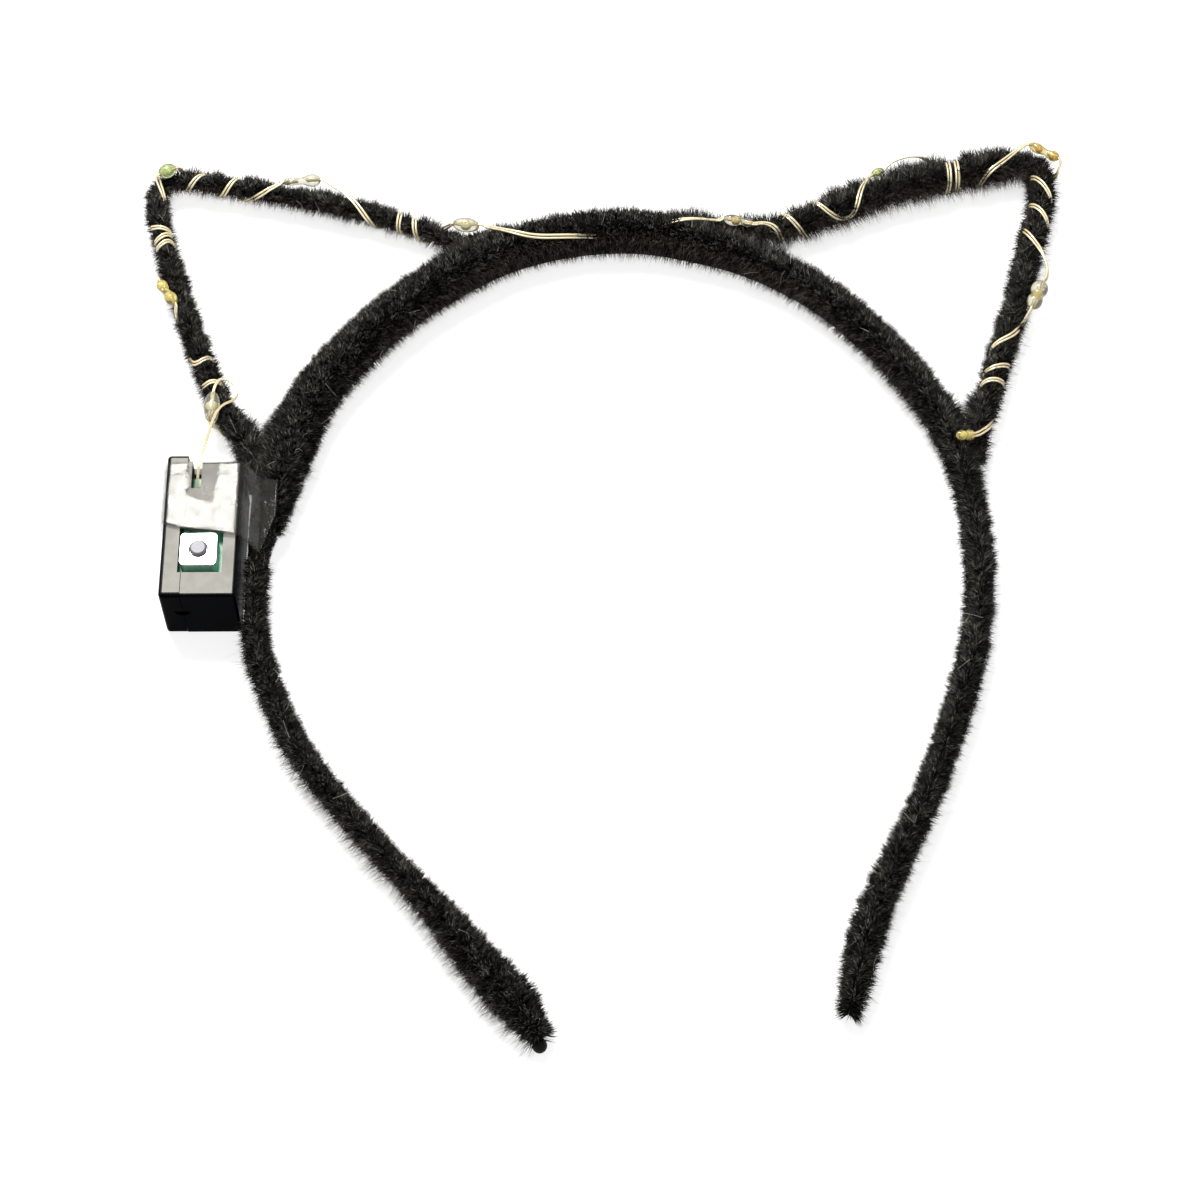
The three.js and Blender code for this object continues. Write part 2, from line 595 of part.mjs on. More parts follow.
// The push switch stands on the board in the window, with its button in a hole.
function addSwitch() {
  const bottom = boardTop + clearance;
  const top = caseHigh + switchProud;
  const middle = windowWest + clearance + switchSide / 2;
  const holeDeep = buttonSeat + clearance + buttonTravel;
  const shape = roundSquare(switchSide, switchRound);
  const settings = { depth: top - bottom, bevelEnabled: false, curveSegments: filletSides };
  const box = new THREE.ExtrudeGeometry(shape, settings).translate(middle, windowMiddle, bottom);
  const radius = buttonThick / 2;
  const holeRadius = radius + clearance;
  const drill = new THREE.CylinderGeometry(holeRadius, holeRadius, 2 * holeDeep, 16).rotateX(Math.PI / 2);
  drill.translate(middle, windowMiddle, top);
  addPiece("switch_body", geometryOf(solid(box).subtract(solid(drill))), "steel");

  const high = buttonSeat + buttonProud;
  const plunger = new THREE.CylinderGeometry(buttonTop / 2, radius, high, 16).rotateX(Math.PI / 2);
  const button = addPiece("switch_button", plunger, "button");
  button.position.set(middle, windowMiddle, top - buttonSeat + high / 2);
}
addSwitch();

// The tape: a film over the case's face, down its outer side and on over the band's pile
function addTape() {
  const face = caseHigh + clearance + tapeThick;
  const over = band.at(earLeftFeet[0].at);
  const pile = over.centre.z + over.tall + clearance + tapeThick;
  const edges = {
    outside: caseWest - clearance - tapeThick,
    corner: caseWest - clearance,
    seam: seamEast,
    inside: caseEast + clearance,
  };
  const points = 4; // along each fold line
  const outer = tapeRows.map(({ from, past, down, far, near }) => {
    const x = edges[from] + past * bandThick;
    const z = down < 0 ? face + down * caseHigh : mix(face, pile, down);
    return Array.from({ length: points }, (_, i) => {
      return new THREE.Vector3(x, caseEnd - mix(far, near, i / (points - 1)) * caseLong, z);
    });
  });
  const inner = outer.map((column, k) => {
    const before = outer[Math.max(k - 1, 0)][0];
    const after = outer[Math.min(k + 1, outer.length - 1)][0];
    const inward = new THREE.Vector3(after.z - before.z, 0, before.x - after.x).normalize();
    return column.map((point) => point.clone().addScaledVector(inward, tapeThick));
  });
  const rings = outer.map((column, k) => [...column, ...[...inner[k]].reverse()]);
  const centre = (ring) => ring.reduce((sum, p) => sum.add(p), new THREE.Vector3()).divideScalar(ring.length);
  addPiece("tape", closeRings(centre(rings[0]), rings, centre(rings.at(-1))), "tape");
}
addTape();

// The drops of resin: each is turned from its blobs' outline and laid along the string.
const beads = beadRows.map(({ on, at, turn, off, yaw, tilt, blobs }, index) => {
  const unit = beadThick / 2;
  const [low, high] = [
    Math.min(...blobs.map(([place, , half]) => place - half)) * unit,
    Math.max(...blobs.map(([place, , half]) => place + half)) * unit,
  ];
  const width = (x) =>
    Math.max(...blobs.map(([place, radius, half]) => {
      const inside = 1 - ((x / unit - place) / half) ** 2;
      return radius * unit * Math.sqrt(Math.max(inside, 0));
    }), beadNeck);
  const stations = 9; // along the drop's outline
  const outline = [new THREE.Vector2(0, low)];
  for (let i = 0; i < stations; i++) {
    const x = mix(low, high, 0.5 - 0.5 * Math.cos(((i + 0.5) / stations) * Math.PI));
    outline.push(new THREE.Vector2(width(x), x));
  }
  outline.push(new THREE.Vector2(0, high));
  const geometry = new THREE.LatheGeometry(outline, 10);

  const strand = strands[on];
  const fattest = Math.max(...blobs.map(([, radius]) => radius)) * unit;
  const centre = strand.surface(at, turn, fattest + off * wireBow);
  const heading = strand.along(at).applyAxisAngle(up, degrees(yaw));
  const direction = heading.multiplyScalar(Math.cos(degrees(tilt)));
  direction.addScaledVector(up, Math.sin(degrees(tilt)));
  const drop = addPiece(`led_bead_${index + 1}`, geometry, "resin");
  drop.position.copy(centre);
  drop.quaternion.setFromUnitVectors(new THREE.Vector3(0, 1, 0), direction);
  const tip = (x) => centre.clone().addScaledVector(direction, x);
  const away = strand.away(at, turn);
  return { start: tip(low - clearance), end: tip(high + clearance), away };
});

// A stretch of the string between two ends, with its turns worked out from the route's rows
function wirePoints(start, rows, end) {
  const mostTurn = 38; // degrees round a strand from one point to the next
  const mostStep = 2.4; // from one section of the strip to the next
  const seat = clearance + wireThick / 2;
  const points = [...start];
  rows.forEach(([on, at, turn, off], i) => {
    const strand = strands[on];
    const before = rows[i - 1];
    const joined = before && before[0] === on;
    const steps = joined ? Math.max(1, Math.ceil(Math.abs(turn - before[2]) / mostTurn)) : 1;
    for (let k = 1; k <= steps; k++) {
      const w = k / steps;
      const [share, angle, stand] = joined
        ? [mix(before[1], at, w), mix(before[2], turn, w), mix(before[3], off, w)]
        : [at, turn, off];
      points.push({
        place: strand.surface(share, angle, seat + stand * wireBow),
        away: strand.away(share, angle),
      });
    }
  });
  points.push(end);
  const table = points.map(({ place, away }) => [...place.toArray(), ...away.toArray()]);
  const dense = [];
  for (let i = 0; i + 1 < points.length; i++) {
    const steps = Math.max(1, Math.round(points[i].place.distanceTo(points[i + 1].place) / mostStep));
    for (let k = 0; k < steps; k++) dense.push(smooth(table, (i + k / steps) / (points.length - 1)));
  }
  dense.push(table.at(-1));
  return dense;
}

// The twin wire as one flat strip, its flat side to the strand
function wireStrip(dense) {
  const stripSides = 6;
  const places = dense.map(([x, y, z]) => new THREE.Vector3(x, y, z));
  const rings = dense.map(([, , , a, b, c], i) => {
    const before = places[Math.max(i - 1, 0)];
    const after = places[Math.min(i + 1, places.length - 1)];
    const along = after.clone().sub(before).normalize();
    const side = new THREE.Vector3().crossVectors(along, new THREE.Vector3(a, b, c)).normalize();
    const lift = new THREE.Vector3().crossVectors(side, along);
    return Array.from({ length: stripSides }, (_, j) => {
      const angle = (j / stripSides) * 2 * Math.PI;
      const point = places[i].clone().addScaledVector(side, (Math.cos(angle) * wireWide) / 2);
      return point.addScaledVector(lift, (Math.sin(angle) * wireThick) / 2 / Math.sin(Math.PI / 3));
    });
  });
  return closeRings(places[0], rings, places.at(-1));
}

// The string's stretches: the first comes up out of the slot, and the others join two drops.
function addWires() {
  const point = (x, y, z) => ({ place: new THREE.Vector3(x, y, z), away: up });
  const [on, at, turn, off] = wireRoute[0][0];
  const goal = strands[on].surface(at, turn, clearance + wireThick / 2 + off * wireBow);
  const lead = [
    point(slotMiddle, caseEnd - slotLong * 0.8, boardTop + clearance + wireThick),
    point(slotMiddle, caseEnd - slotLong * 0.45, caseHigh - caseWall),
    point(slotMiddle, caseEnd - slotLong * 0.15, caseHigh - caseWall / 2),
    ...leadRoute.map(({ along, down, right }) => {
      const x = mix(slotMiddle, goal.x, along) + right * wireBow;
      return point(x, mix(caseEnd, goal.y, along), mix(caseHigh, goal.z, down));
    }),
  ];
  wireRoute.forEach((rows, i) => {
    const before = beads[i - 1];
    const start = before ? [{ place: before.end, away: before.away }] : lead;
    const end = { place: beads[i].start, away: beads[i].away };
    addPiece(`light_wire_${i + 1}`, wireStrip(wirePoints(start, rows, end)), "wire");
  });
}
addWires();

// The part's origin is under the middle of its box.
const box = new THREE.Box3().setFromObject(object);
const middle = box.getCenter(new THREE.Vector3());
for (const mesh of object.children) mesh.position.sub(new THREE.Vector3(middle.x, middle.y, box.min.z));

export default object;
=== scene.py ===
import math

import bmesh
import bpy
import numpy as np
from mathutils import Matrix, Vector, noise
from mathutils.kdtree import KDTree


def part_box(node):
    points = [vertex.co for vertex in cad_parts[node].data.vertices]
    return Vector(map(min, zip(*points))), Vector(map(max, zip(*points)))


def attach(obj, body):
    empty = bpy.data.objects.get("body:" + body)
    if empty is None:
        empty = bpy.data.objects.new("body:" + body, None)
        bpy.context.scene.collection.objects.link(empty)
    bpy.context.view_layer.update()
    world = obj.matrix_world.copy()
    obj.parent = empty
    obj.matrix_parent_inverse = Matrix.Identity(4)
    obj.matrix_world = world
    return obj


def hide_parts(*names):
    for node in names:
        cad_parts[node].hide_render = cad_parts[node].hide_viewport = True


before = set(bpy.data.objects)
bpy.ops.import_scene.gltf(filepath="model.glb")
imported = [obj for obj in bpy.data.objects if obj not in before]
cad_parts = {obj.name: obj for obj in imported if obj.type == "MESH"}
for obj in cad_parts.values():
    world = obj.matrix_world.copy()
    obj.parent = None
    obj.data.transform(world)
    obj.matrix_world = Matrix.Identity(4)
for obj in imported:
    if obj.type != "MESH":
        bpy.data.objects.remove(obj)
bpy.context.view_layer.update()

MM = 0.001
UP = np.array((0.0, 0.0, 1.0))
BODY = "headband"
random = np.random.default_rng(11)

# The camera looks down on the headband, from the side of its open end
VIEW_PAST_BUTTON = Vector((68.2, -4.9, 0)) * MM  # what it looks at, from the switch's button
VIEW_HEIGHT = 3.5 * MM
VIEW_ELEVATION = math.radians(61.2)
VIEW_TURN = math.radians(0.34)  # it stands this little to the west of straight below
VIEW_DISTANCE = 516 * MM
LENS = 90
SENSOR = 36

# The CAD meshes
JOINED = 0.002 * MM  # points closer than this are one
FLAT = math.radians(2)  # triangles that meet at less than this are one flat face
EASED = 2.0 * MM  # a strand's facets are evened out over this length

# The pile: short black fibres on a ground that is a little inside the solids
FIBRES = {"band": 129000, "ear_left": 37000, "ear_right": 46000}
PARTS = {"band": 3, "ear_left": 1, "ear_right": 1}
GROUND_DEPTH = 0.45 * MM
ROOT_DEPTH = 0.6 * MM
FLOOR_GAP = 0.04 * MM  # no part of the pile is lower
FIBRE_WIDTH = 0.22 * MM
THINNEST, WIDTH_SPREAD = 0.7, 0.6  # shares of that width
LEAST_GIRTH = 3 * MM  # thin stretches get as many fibres as if they were this thick
TIP = 2.2 * MM  # over this length at its ends, a strand's pile is denser and turns to point along it
TIP_DENSITY = 2.5  # this many times as dense as the rest
UNDERSIDE, UNDERSIDE_MOVED = -0.45, 0.8  # of the fibres this far underneath, this share is put on top

# How far a common fibre stands past the solid in mm, on the first and on the second half of a strand
HEIGHTS = {"band": (1.4, 1.6), "ear_left": (1.7, 1.8), "ear_right": (2.6, 1.7)}
HALVES = (0.42, 0.58)  # the one height passes into the other between these shares of the length
TUFT_HEIGHT, TUFT_SPREAD = 0.8, 0.8  # shares of that height: a tuft's mean, and how far tufts differ
FIBRE_HEIGHT, FIBRE_SPREAD = 0.88, 0.75  # the same for a fibre in its tuft
LONG_SHARE, LONG_HEIGHT = 0.1, 1.5  # this share of the fibres stands this much higher

# Fibres cling together in tufts
TUFT = 1.0 * MM
TUFT_KINDS = 8191
TUFT_BLUR = 0.22  # how far a fibre strays from its own tuft, in tufts
CLING = 0.55  # how much of the way to its tuft's middle a fibre's tip is drawn
TUFT_LEAN_ALONG, TUFT_LEAN_ROUND = 1.5, 1.3
FIBRE_LEAN = 0.4

# The shaded sides face south and down: how much the south and the down of the normal count there, and
# from what sum to what sum the shade grows. The pile is soft there, lower, more even and finer, and its
# fibres are painted darker there, painted shade
SHADE = (0.8, 0.55, 0.05, 0.75)
SHADE_HEIGHT = 0.8  # a share of the height on the other sides
TUFTS_EVENED, FIBRES_EVENED, LEAN_EVENED, CLING_EVENED = 0.8, 0.5, 0.4, 0.9
# how much finer the shaded fibres are, and how much darker their tone is painted there, painted shade
SHADE_FINER, SHADE_DARKER = 0.5, 0.4
BROWN_SHADE = (0.8, 0.35, 0.1, 0.5)  # the same numbers as for the shade, for the brown-black fibres: painted shade on the south and lower sides
BROWN_SHADE_SHARE = 0.9
FUZZ = 0.42  # the share of the shaded fibres that are long, fine and pale
FUZZ_HEIGHT, FUZZ_WIDTH, FUZZ_TONE = 2.0, 0.5, 0.95
LEG = (5 * MM, 45 * MM)  # this far south the left leg's extra fuzz begins, and is full
LEG_FUZZ, LEG_FUZZ_HEIGHT, LEG_LOWER = 0.5, 1.8, 0.35
TUFT_TONE, FIBRE_TONE = 0.4, 0.65  # how much a tuft and a fibre in it differ in tone

# Where the pile is pressed down or grows together
PRESS_HEIGHT = 0.45 * MM  # how near the wire is, is measured this far out from the solid
PRESS_REACH = (0.6 * MM, 1.5 * MM)  # the wire and the drops press it this near, and no longer this far
PRESSED = 0.06  # this share of its height stays there
COVER_REACH = (0.5 * MM, 1.6 * MM)  # this near to the hidden wire it stands higher
COVER_HIGHER = 0.7 * MM
CASE_REACH = 0.9 * MM  # it lies flat this near to the case, and under the tape
CASE_PRESSED = 0.12
JOIN = 7.5 * MM  # it grows together where two strands are closer than this
JOIN_FULL = 0.4  # fully at this share of it
JOIN_SHARE, JOIN_MORE = 0.62, 0.5 * MM  # by this share of the gap and this much more
BLUNT = 3.0 * MM  # over this length at the band's ends, longer pile makes up for the taper
BLUNT_SHARE = 0.75

# Stretches along x: where each begins, where it is full, where it starts to fade and where it ends
CROWN_PILE = np.array((-37, -23, 13, 27)) * MM  # the band is a little fuller than its solid
CROWN_WIRE = np.array((-29, -17, 17, 21)) * MM  # the wire lies further up on the crown
HIDDEN_WIRE = np.array((-3, -1, 12, 14)) * MM  # the pile covers the wire
CROWN_FULL = 0.85 * MM
CROWN_SIDES = (0.05, 0.75)  # the fuller sides of the crown face this much north or south
WIRE_FURTHER, WIRE_HIGHER = 0.5 * MM, 0.65 * MM  # how far north and up it is moved there
BURIED = 2.0 * MM  # the hidden stretch lies this much lower

# The wire: two enamelled strands side by side
STRAND_RADIUS = 0.21 * MM
STRAND_APART = 0.56 * MM
LEAD_RADIUS = 0.14 * MM  # the two strands of the stretch that leaves the case are twisted thin
LEAD_APART = 0.26 * MM
SUNK, SUNK_ON_TOP = 0.45 * MM, 0.3  # it sinks this far into a strand's sides, and this share on top
SINK_REACH = (0.7 * MM, 1.5 * MM)  # it sinks this near to a strand, and no longer this far
UPWARD = (0.35, 0.75)  # how far up the way out of a strand points, at its sides and on top
BARE = 0.8  # it counts as bare on top up to this share of the way to a strand's sides
EVENED = (0.5, -0.52) * 6  # the line is evened out and swelled by turns, so that it keeps its bends
INTO_DROP = 0.75  # its strands run this share of the way to the middle of a drop
DROP_APART = 0.5  # and are this share as far apart there

# The drops of resin
LEAST_BLOB = 0.4 * MM  # what is thinner is the wire's way in
CORE_SHAPE = (0.8, 0.62, 0.55)  # a core's half sizes, in the blob's radii

# Pale hairs that stray on the pile
STRAY_HAIRS = 120
STRAY_SHARES = (0.6, 0.15, 0.25)  # how many are on each strand
STRAY_LOWEST = 2.5 * MM  # none is nearer to the floor
STRAY_RADIUS = 0.03 * MM
STRAY_SHORT, STRAY_SPREAD = 0.7, 1.0  # half a hair's length in mm
STRAY_HEIGHTS = (0.4 * MM, 0.75 * MM, 1.0 * MM)  # of its start, its middle and its end
STRAY_BEND = 0.12 * MM

# The case and the switch
SEAM_REACH = 0.4 * MM  # corners of the case that are this near to its seam belong to it
SEAM_CLOSED = 0.2 * MM  # the cover's are moved this far, to close on the body
SHORT_EDGE = 1.5 * MM  # shorter edges, those of the notches, stay sharp
ON_SIDE = 0.05 * MM  # an edge is on a side of its node's box when it is this near
# The hard pieces: the node, the piece, how wide its edges are rounded in mm, and its slot
HARD = [
    ("case_body", "case_body_moulding", 0.5, "case_black"),
    ("case_cover", "case_cover_moulding", 0.7, "case_black"),
    ("circuit_board", "circuit_board_panel", 0.08, "board_green"),
    ("switch_body", "switch_cover", 0.12, "switch_steel"),
]
BUTTON_ROUNDED = 0.15 * MM
BUTTON_EDGE = math.radians(60)  # its rims bend by more than this
NUB_DEEPER = (-0.9 * MM, 0.3 * MM, 0)  # the left tip's nub sits this much deeper in the pile

# The tape
TAPE_ROUND = (-75.5 * MM, 12.5 * MM)  # the middle of its round bend over the cover's edge, in x and z
TAPE_CUTS = 7  # in each edge of the CAD film
TAPE_WAVES, TAPE_UNEVEN = 8 * MM, 0.12 * MM  # how long and how high its waves are
POCKET_CORNER = Vector((-72.5, 14.97, 0)) * MM  # the pocket of air under it is placed from here
# The pocket's sides, as across, down and reach: a place x, y from the corner is inside one where
# across * x - down * y is less than its reach. The pocket is inside the first three, or inside the last
POCKET_SIDES = [
    (-0.36, 1.0, 6.8 * MM), (1.0, 0.1, 5.6 * MM), (-1.0, 0.0, 0.1 * MM), (0.0, 1.0, 0.5 * MM),
]
POCKET_RAGGED = 2.4 * MM  # how far the creases move its edge
POCKET_EDGE = (1.1 * MM, 1.6 * MM)  # the film starts to tilt, and tilts fully
POCKET_TILT = 0.24
POCKET_CLEARER = 3.4  # how much of the film's haze goes with the tilt

# The studio
BOX_DISTANCE, BOX_SIZE, BOX_POWER = 0.75, 0.24, 9.5  # in metres and watts
SURROUND = 0.62  # how bright the white surround is
FLOOR_SIZE = 3  # half a side, in metres


def linear(code):
    """A linear colour from a hex code in sRGB."""
    parts = [int(code[i : i + 2], 16) / 255 for i in (1, 3, 5)]
    return (*(c / 12.92 if c <= 0.04045 else ((c + 0.055) / 1.055) ** 2.4 for c in parts), 1.0)


def feed(tree, node, inputs):
    """Fills a node's inputs. Each is a value, or the output that is linked to it."""
    for name, value in inputs.items():
        if isinstance(value, bpy.types.NodeSocket):
            tree.links.new(value, node.inputs[name])
        else:
            node.inputs[name].default_value = value


def add(tree, kind, inputs=None, **settings):
    """Adds a node with its settings and its inputs."""
    made = tree.nodes.new(kind)
    for name, value in settings.items():
        setattr(made, name, value)
    feed(tree, made, inputs or {})
    return made


def material(name):
    """A new material with its node tree and its surface."""
    made = bpy.data.materials.new(name)
    made.use_nodes = True
    return made, made.node_tree, made.node_tree.nodes["Principled BSDF"]


def place_in(tree):
    """Where a point is in its object, in metres."""
    return add(tree, "ShaderNodeTexCoord").outputs["Object"]


def grain(tree, size, place=None, **more):
    """Noise with grains of a real size."""
    if place is None:
        place = place_in(tree)
    inputs = {"Vector": place, "Scale": 1 / size}
    return add(tree, "ShaderNodeTexNoise", inputs | more).outputs[0]


def mixed(tree, share, first, second):
    """A colour between two. Each is a hex code or an output."""
    first, second = (linear(c) if isinstance(c, str) else c for c in (first, second))
    inputs = {0: share, 6: first, 7: second}  # a Mix node's sockets for colours
    return add(tree, "ShaderNodeMix", inputs, data_type="RGBA").outputs[2]


def ranged(tree, value, low=0.0, high=1.0, to_low=0.0, to_high=1.0):
    """A value brought from one range into another."""
    inputs = {"Value": value, "From Min": low, "From Max": high, "To Min": to_low, "To Max": to_high}
    return add(tree, "ShaderNodeMapRange", inputs).outputs[0]


def math_of(tree, kind, *values):
    """The result of a Math node."""
    return add(tree, "ShaderNodeMath", dict(enumerate(values)), operation=kind).outputs[0]


def raised(tree, height, strength, distance, **more):
    """The normal of a surface with a fine relief."""
    inputs = {"Height": height, "Strength": strength, "Distance": distance}
    return add(tree, "ShaderNodeBump", inputs | more).outputs[0]


def pile_material(name, root_shade, dark, pale, power):
    """Chenille pile: dyed polyester fibres, matt. Near black at the root, painted shade deep in the pile,
    and paler at the tip, painted light on the tips.
    """
    made, tree, surface = material(name)
    uv = add(tree, "ShaderNodeUVMap", uv_map="fibre")
    parts = add(tree, "ShaderNodeSeparateXYZ", {"Vector": uv.outputs["UV"]})
    lit = mixed(tree, math_of(tree, "POWER", parts.outputs["X"], power), dark, pale)
    # Painted shade at the roots and painted light at the tips, by the height along each fibre
    rise = ranged(tree, parts.outputs["Y"], 0.2, 0.85)
    feed(tree, surface, {
        "Base Color": mixed(tree, rise, root_shade, lit), "Roughness": 0.5, "Specular IOR Level": 0.06,
    })
    return made


def ground_material():
    """The pile's dense roots: a matt black ground with a fine relief, painted darker in its pits as
    shade.
    """
    made, tree, surface = material("black_pile_ground")
    pits_and_shade = grain(tree, 0.8 * MM, Detail=4.0)
    feed(tree, surface, {
        # The pits are painted darker: painted shade in the relief's hollows
        "Base Color": mixed(tree, pits_and_shade, "#020202", "#12110f"),
        "Normal": raised(tree, pits_and_shade, 0.8, 0.3 * MM),
        "Roughness": 0.9,
        "Specular IOR Level": 0.1,
    })
    return made


def hair_material():
    """Stray fibres without dye: smooth pale polyester that catches the light."""
    made, tree, surface = material("pale_stray_fibre")
    share = ranged(tree, grain(tree, 9 * MM), 0.35, 0.55)
    feed(tree, surface, {"Base Color": mixed(tree, share, "#554d45", "#b3b0ab"), "Roughness": 0.35})
    return made


def wire_material():
    """Enamelled copper wire under a clear coat. Its colour is painted by the angle to the eye: pale cream
    where it faces the eye, a painted highlight, and a deeper gold where the enamel is seen at a slant."""
    made, tree, surface = material("champagne_enamelled_wire")
    coat = grain(tree, 2.2 * MM, Detail=3.0)
    cream_highlight = mixed(tree, coat, "#f5e5ae", "#fffcea")
    facing_paint = add(tree, "ShaderNodeLayerWeight", {"Blend": 0.44})
    feed(tree, surface, {
        # Painted highlight: cream where the wire faces the eye, deeper gold towards its edges
        "Base Color": mixed(tree, facing_paint.outputs["Facing"], cream_highlight, "#926c14"),
        "Roughness": ranged(tree, coat, to_low=0.18, to_high=0.34),
        "Metallic": 0.3,
        "Coat Weight": 0.5,
    })
    return made


def resin_material(name, code, rim):
    """A drop of cured epoxy resin: clear and glossy, with a slightly uneven skin. Its deeper tint at the
    rim is painted by the angle to the eye, painted shade for the longer way that light takes through the
    resin there."""
    made, tree, surface = material(name)
    facing_paint = add(tree, "ShaderNodeLayerWeight", {"Blend": 0.4})
    feed(tree, surface, {
        # Painted shade: the rim's deeper tint is set by the angle to the eye
        "Base Color": mixed(tree, facing_paint.outputs["Facing"], code, rim),
        "Normal": raised(tree, grain(tree, 0.9 * MM), 0.25, 0.2 * MM),
        "Roughness": 0.06,
        "IOR": 1.5,
        "Transmission Weight": 0.85,
    })
    return made


def core_material(name, code):
    """The light's core: a chip under a drop of phosphor, matt and bright by its colour alone."""
    made, tree, surface = material(name)
    pale = ranged(tree, grain(tree, 0.3 * MM), 0.45, 0.8)
    feed(tree, surface, {"Base Color": mixed(tree, pale, code, "#f6f1cf"), "Roughness": 0.5})
    return made


def case_material():
    """Moulded ABS, black, with fine swirls and scratches of wear. Its reflection is painted by facing:
    strong and white on the top, nearly none on the sides, which stay dull black as painted shade, and
    tinted blue on the bevels between, a painted reflection.
    """
    made, tree, surface = material("glossy_black_abs")
    place = place_in(tree)
    swirl = grain(tree, 6 * MM, place, Detail=5.0, Roughness=0.6)
    stretch = add(tree, "ShaderNodeMapping", {"Vector": place, "Scale": (1.0, 0.06, 1.0)})
    scratches = grain(tree, 0.35 * MM, stretch.outputs[0], Detail=3.0)
    form = add(tree, "ShaderNodeNewGeometry")
    facing = add(tree, "ShaderNodeSeparateXYZ", {"Vector": form.outputs["Normal"]})
    level = math_of(tree, "MAXIMUM", facing.outputs["Z"], 0.0)
    painted_sheen_by_facing = math_of(tree, "POWER", level, 5.0)
    feed(tree, surface, {
        "Base Color": mixed(tree, swirl, "#020203", "#060709"),
        "Roughness": ranged(tree, swirl, 0.3, 0.7, 0.24, 0.32),
        "Normal": raised(tree, scratches, 0.12, 0.05 * MM),
        # Painted reflection: full on the top, nearly none on the sides as painted shade, blue on the
        # bevels
        "Specular IOR Level": ranged(tree, painted_sheen_by_facing, to_low=0.004, to_high=0.18),
        "Specular Tint": mixed(tree, painted_sheen_by_facing, "#6f88cc", "#fffdf6"),
        "IOR": 1.54,
    })
    return made


def board_material():
    """Glass-epoxy board under green solder varnish, with the copper's tracks faintly showing."""
    made, tree, surface = material("green_varnished_board")
    tracks = add(
        tree, "ShaderNodeTexWave", {"Vector": place_in(tree), "Scale": 1 / (6 * MM), "Distortion": 2.0},
        wave_type="BANDS", bands_direction="X",
    )
    colour = mixed(tree, tracks.outputs[0], "#2f9a6c", "#58c79b")
    feed(tree, surface, {"Base Color": colour, "Roughness": 0.3})
    return made


def steel_material():
    """The switch's pressed cover: bright plated steel with a soft brushing."""
    made, tree, surface = material("bright_plated_steel")
    brush = add(tree, "ShaderNodeMapping", {"Vector": place_in(tree), "Scale": (1.0, 0.08, 1.0)})
    lines = grain(tree, 0.25 * MM, brush.outputs[0])
    feed(tree, surface, {
        "Base Color": linear("#f4f6f8"),
        "Roughness": ranged(tree, lines, to_low=0.3, to_high=0.5),
        "Metallic": 0.65,
    })
    return made


def button_material():
    """The switch's plunger: grey moulded nylon, a little cloudy."""
    made, tree, surface = material("grey_moulded_nylon")
    colour = mixed(tree, grain(tree, 0.4 * MM), "#66646d", "#7f7d86")
    feed(tree, surface, {"Base Color": colour, "Roughness": 0.45})
    return made


def pocket_tilt(tree, place, creases):
    """How far the tape's film tilts: not at all, but for the pocket of air with its ragged edge."""
    corner = add(tree, "ShaderNodeMapping", {"Vector": place, "Location": -POCKET_CORNER})
    spot = add(tree, "ShaderNodeSeparateXYZ", {"Vector": corner.outputs[0]})
    gaps = []
    for across, down, reach in POCKET_SIDES:
        part = math_of(tree, "MULTIPLY_ADD", spot.outputs["X"], -across, reach)
        gap = math_of(tree, "MULTIPLY_ADD", spot.outputs["Y"], down, part)
        gaps.append(math_of(tree, "MULTIPLY_ADD", creases, POCKET_RAGGED, gap))
    inside = math_of(tree, "MINIMUM", gaps[0], gaps[1])
    inside = math_of(tree, "MINIMUM", inside, gaps[2])
    inside = math_of(tree, "MAXIMUM", inside, gaps[3])
    return ranged(tree, inside, *POCKET_EDGE, to_high=POCKET_TILT)


def tape_material():
    """Clear polypropylene tape: a shiny film with creases that throws white glare. In a pocket of air
    beside the wire's way out it stands at a tilt, and the case shows through it there."""
    made, tree, surface = material("clear_packing_tape")
    place = place_in(tree)
    creases = grain(tree, 3.0 * MM, place, Detail=5.0, Distortion=1.2)
    tilt = pocket_tilt(tree, place, creases)
    form = add(tree, "ShaderNodeNewGeometry")
    north = add(tree, "ShaderNodeCombineXYZ", {"Y": tilt})
    leant = add(
        tree, "ShaderNodeVectorMath", {0: form.outputs["Normal"], 1: north.outputs[0]}, operation="ADD",
    )
    normal = add(tree, "ShaderNodeVectorMath", {0: leant.outputs[0]}, operation="NORMALIZE")
    haze = ranged(tree, creases, 0.35, 0.7, 0.2, 0.36)
    clearer = math_of(tree, "MULTIPLY_ADD", tilt, -POCKET_CLEARER, 1.0)
    feed(tree, surface, {
        "Base Color": linear("#2c2c27"),
        "Normal": raised(tree, creases, 0.34, 0.4 * MM, Normal=normal.outputs[0]),
        "Alpha": math_of(tree, "MULTIPLY", haze, clearer),
        "Roughness": 0.12,
        "IOR": 1.5,
    })
    return made


def nub_material():
    """The left tip's end: smooth dark rubber dip."""
    made, tree, surface = material("dark_rubber_dip")
    feed(tree, surface, {
        "Base Color": linear("#060606"),
        "Normal": raised(tree, grain(tree, 0.5 * MM), 0.3, 0.1 * MM),
        "Roughness": 0.6,
        "Specular IOR Level": 0.15,
    })
    return made


def floor_material():
    """A plain sheet of white studio paper."""
    made, tree, surface = material("white_studio_paper")
    feed(tree, surface, {
        "Base Color": linear("#9c9c9c"),
        "Emission Color": linear("#ffffff"),
        "Emission Strength": 0.8,
        "Roughness": 0.9,
        "Specular IOR Level": 0.1,
    })
    return made


PILE = pile_material("black_chenille_pile", "#030303", "#040404", "#85837a", 5.0)
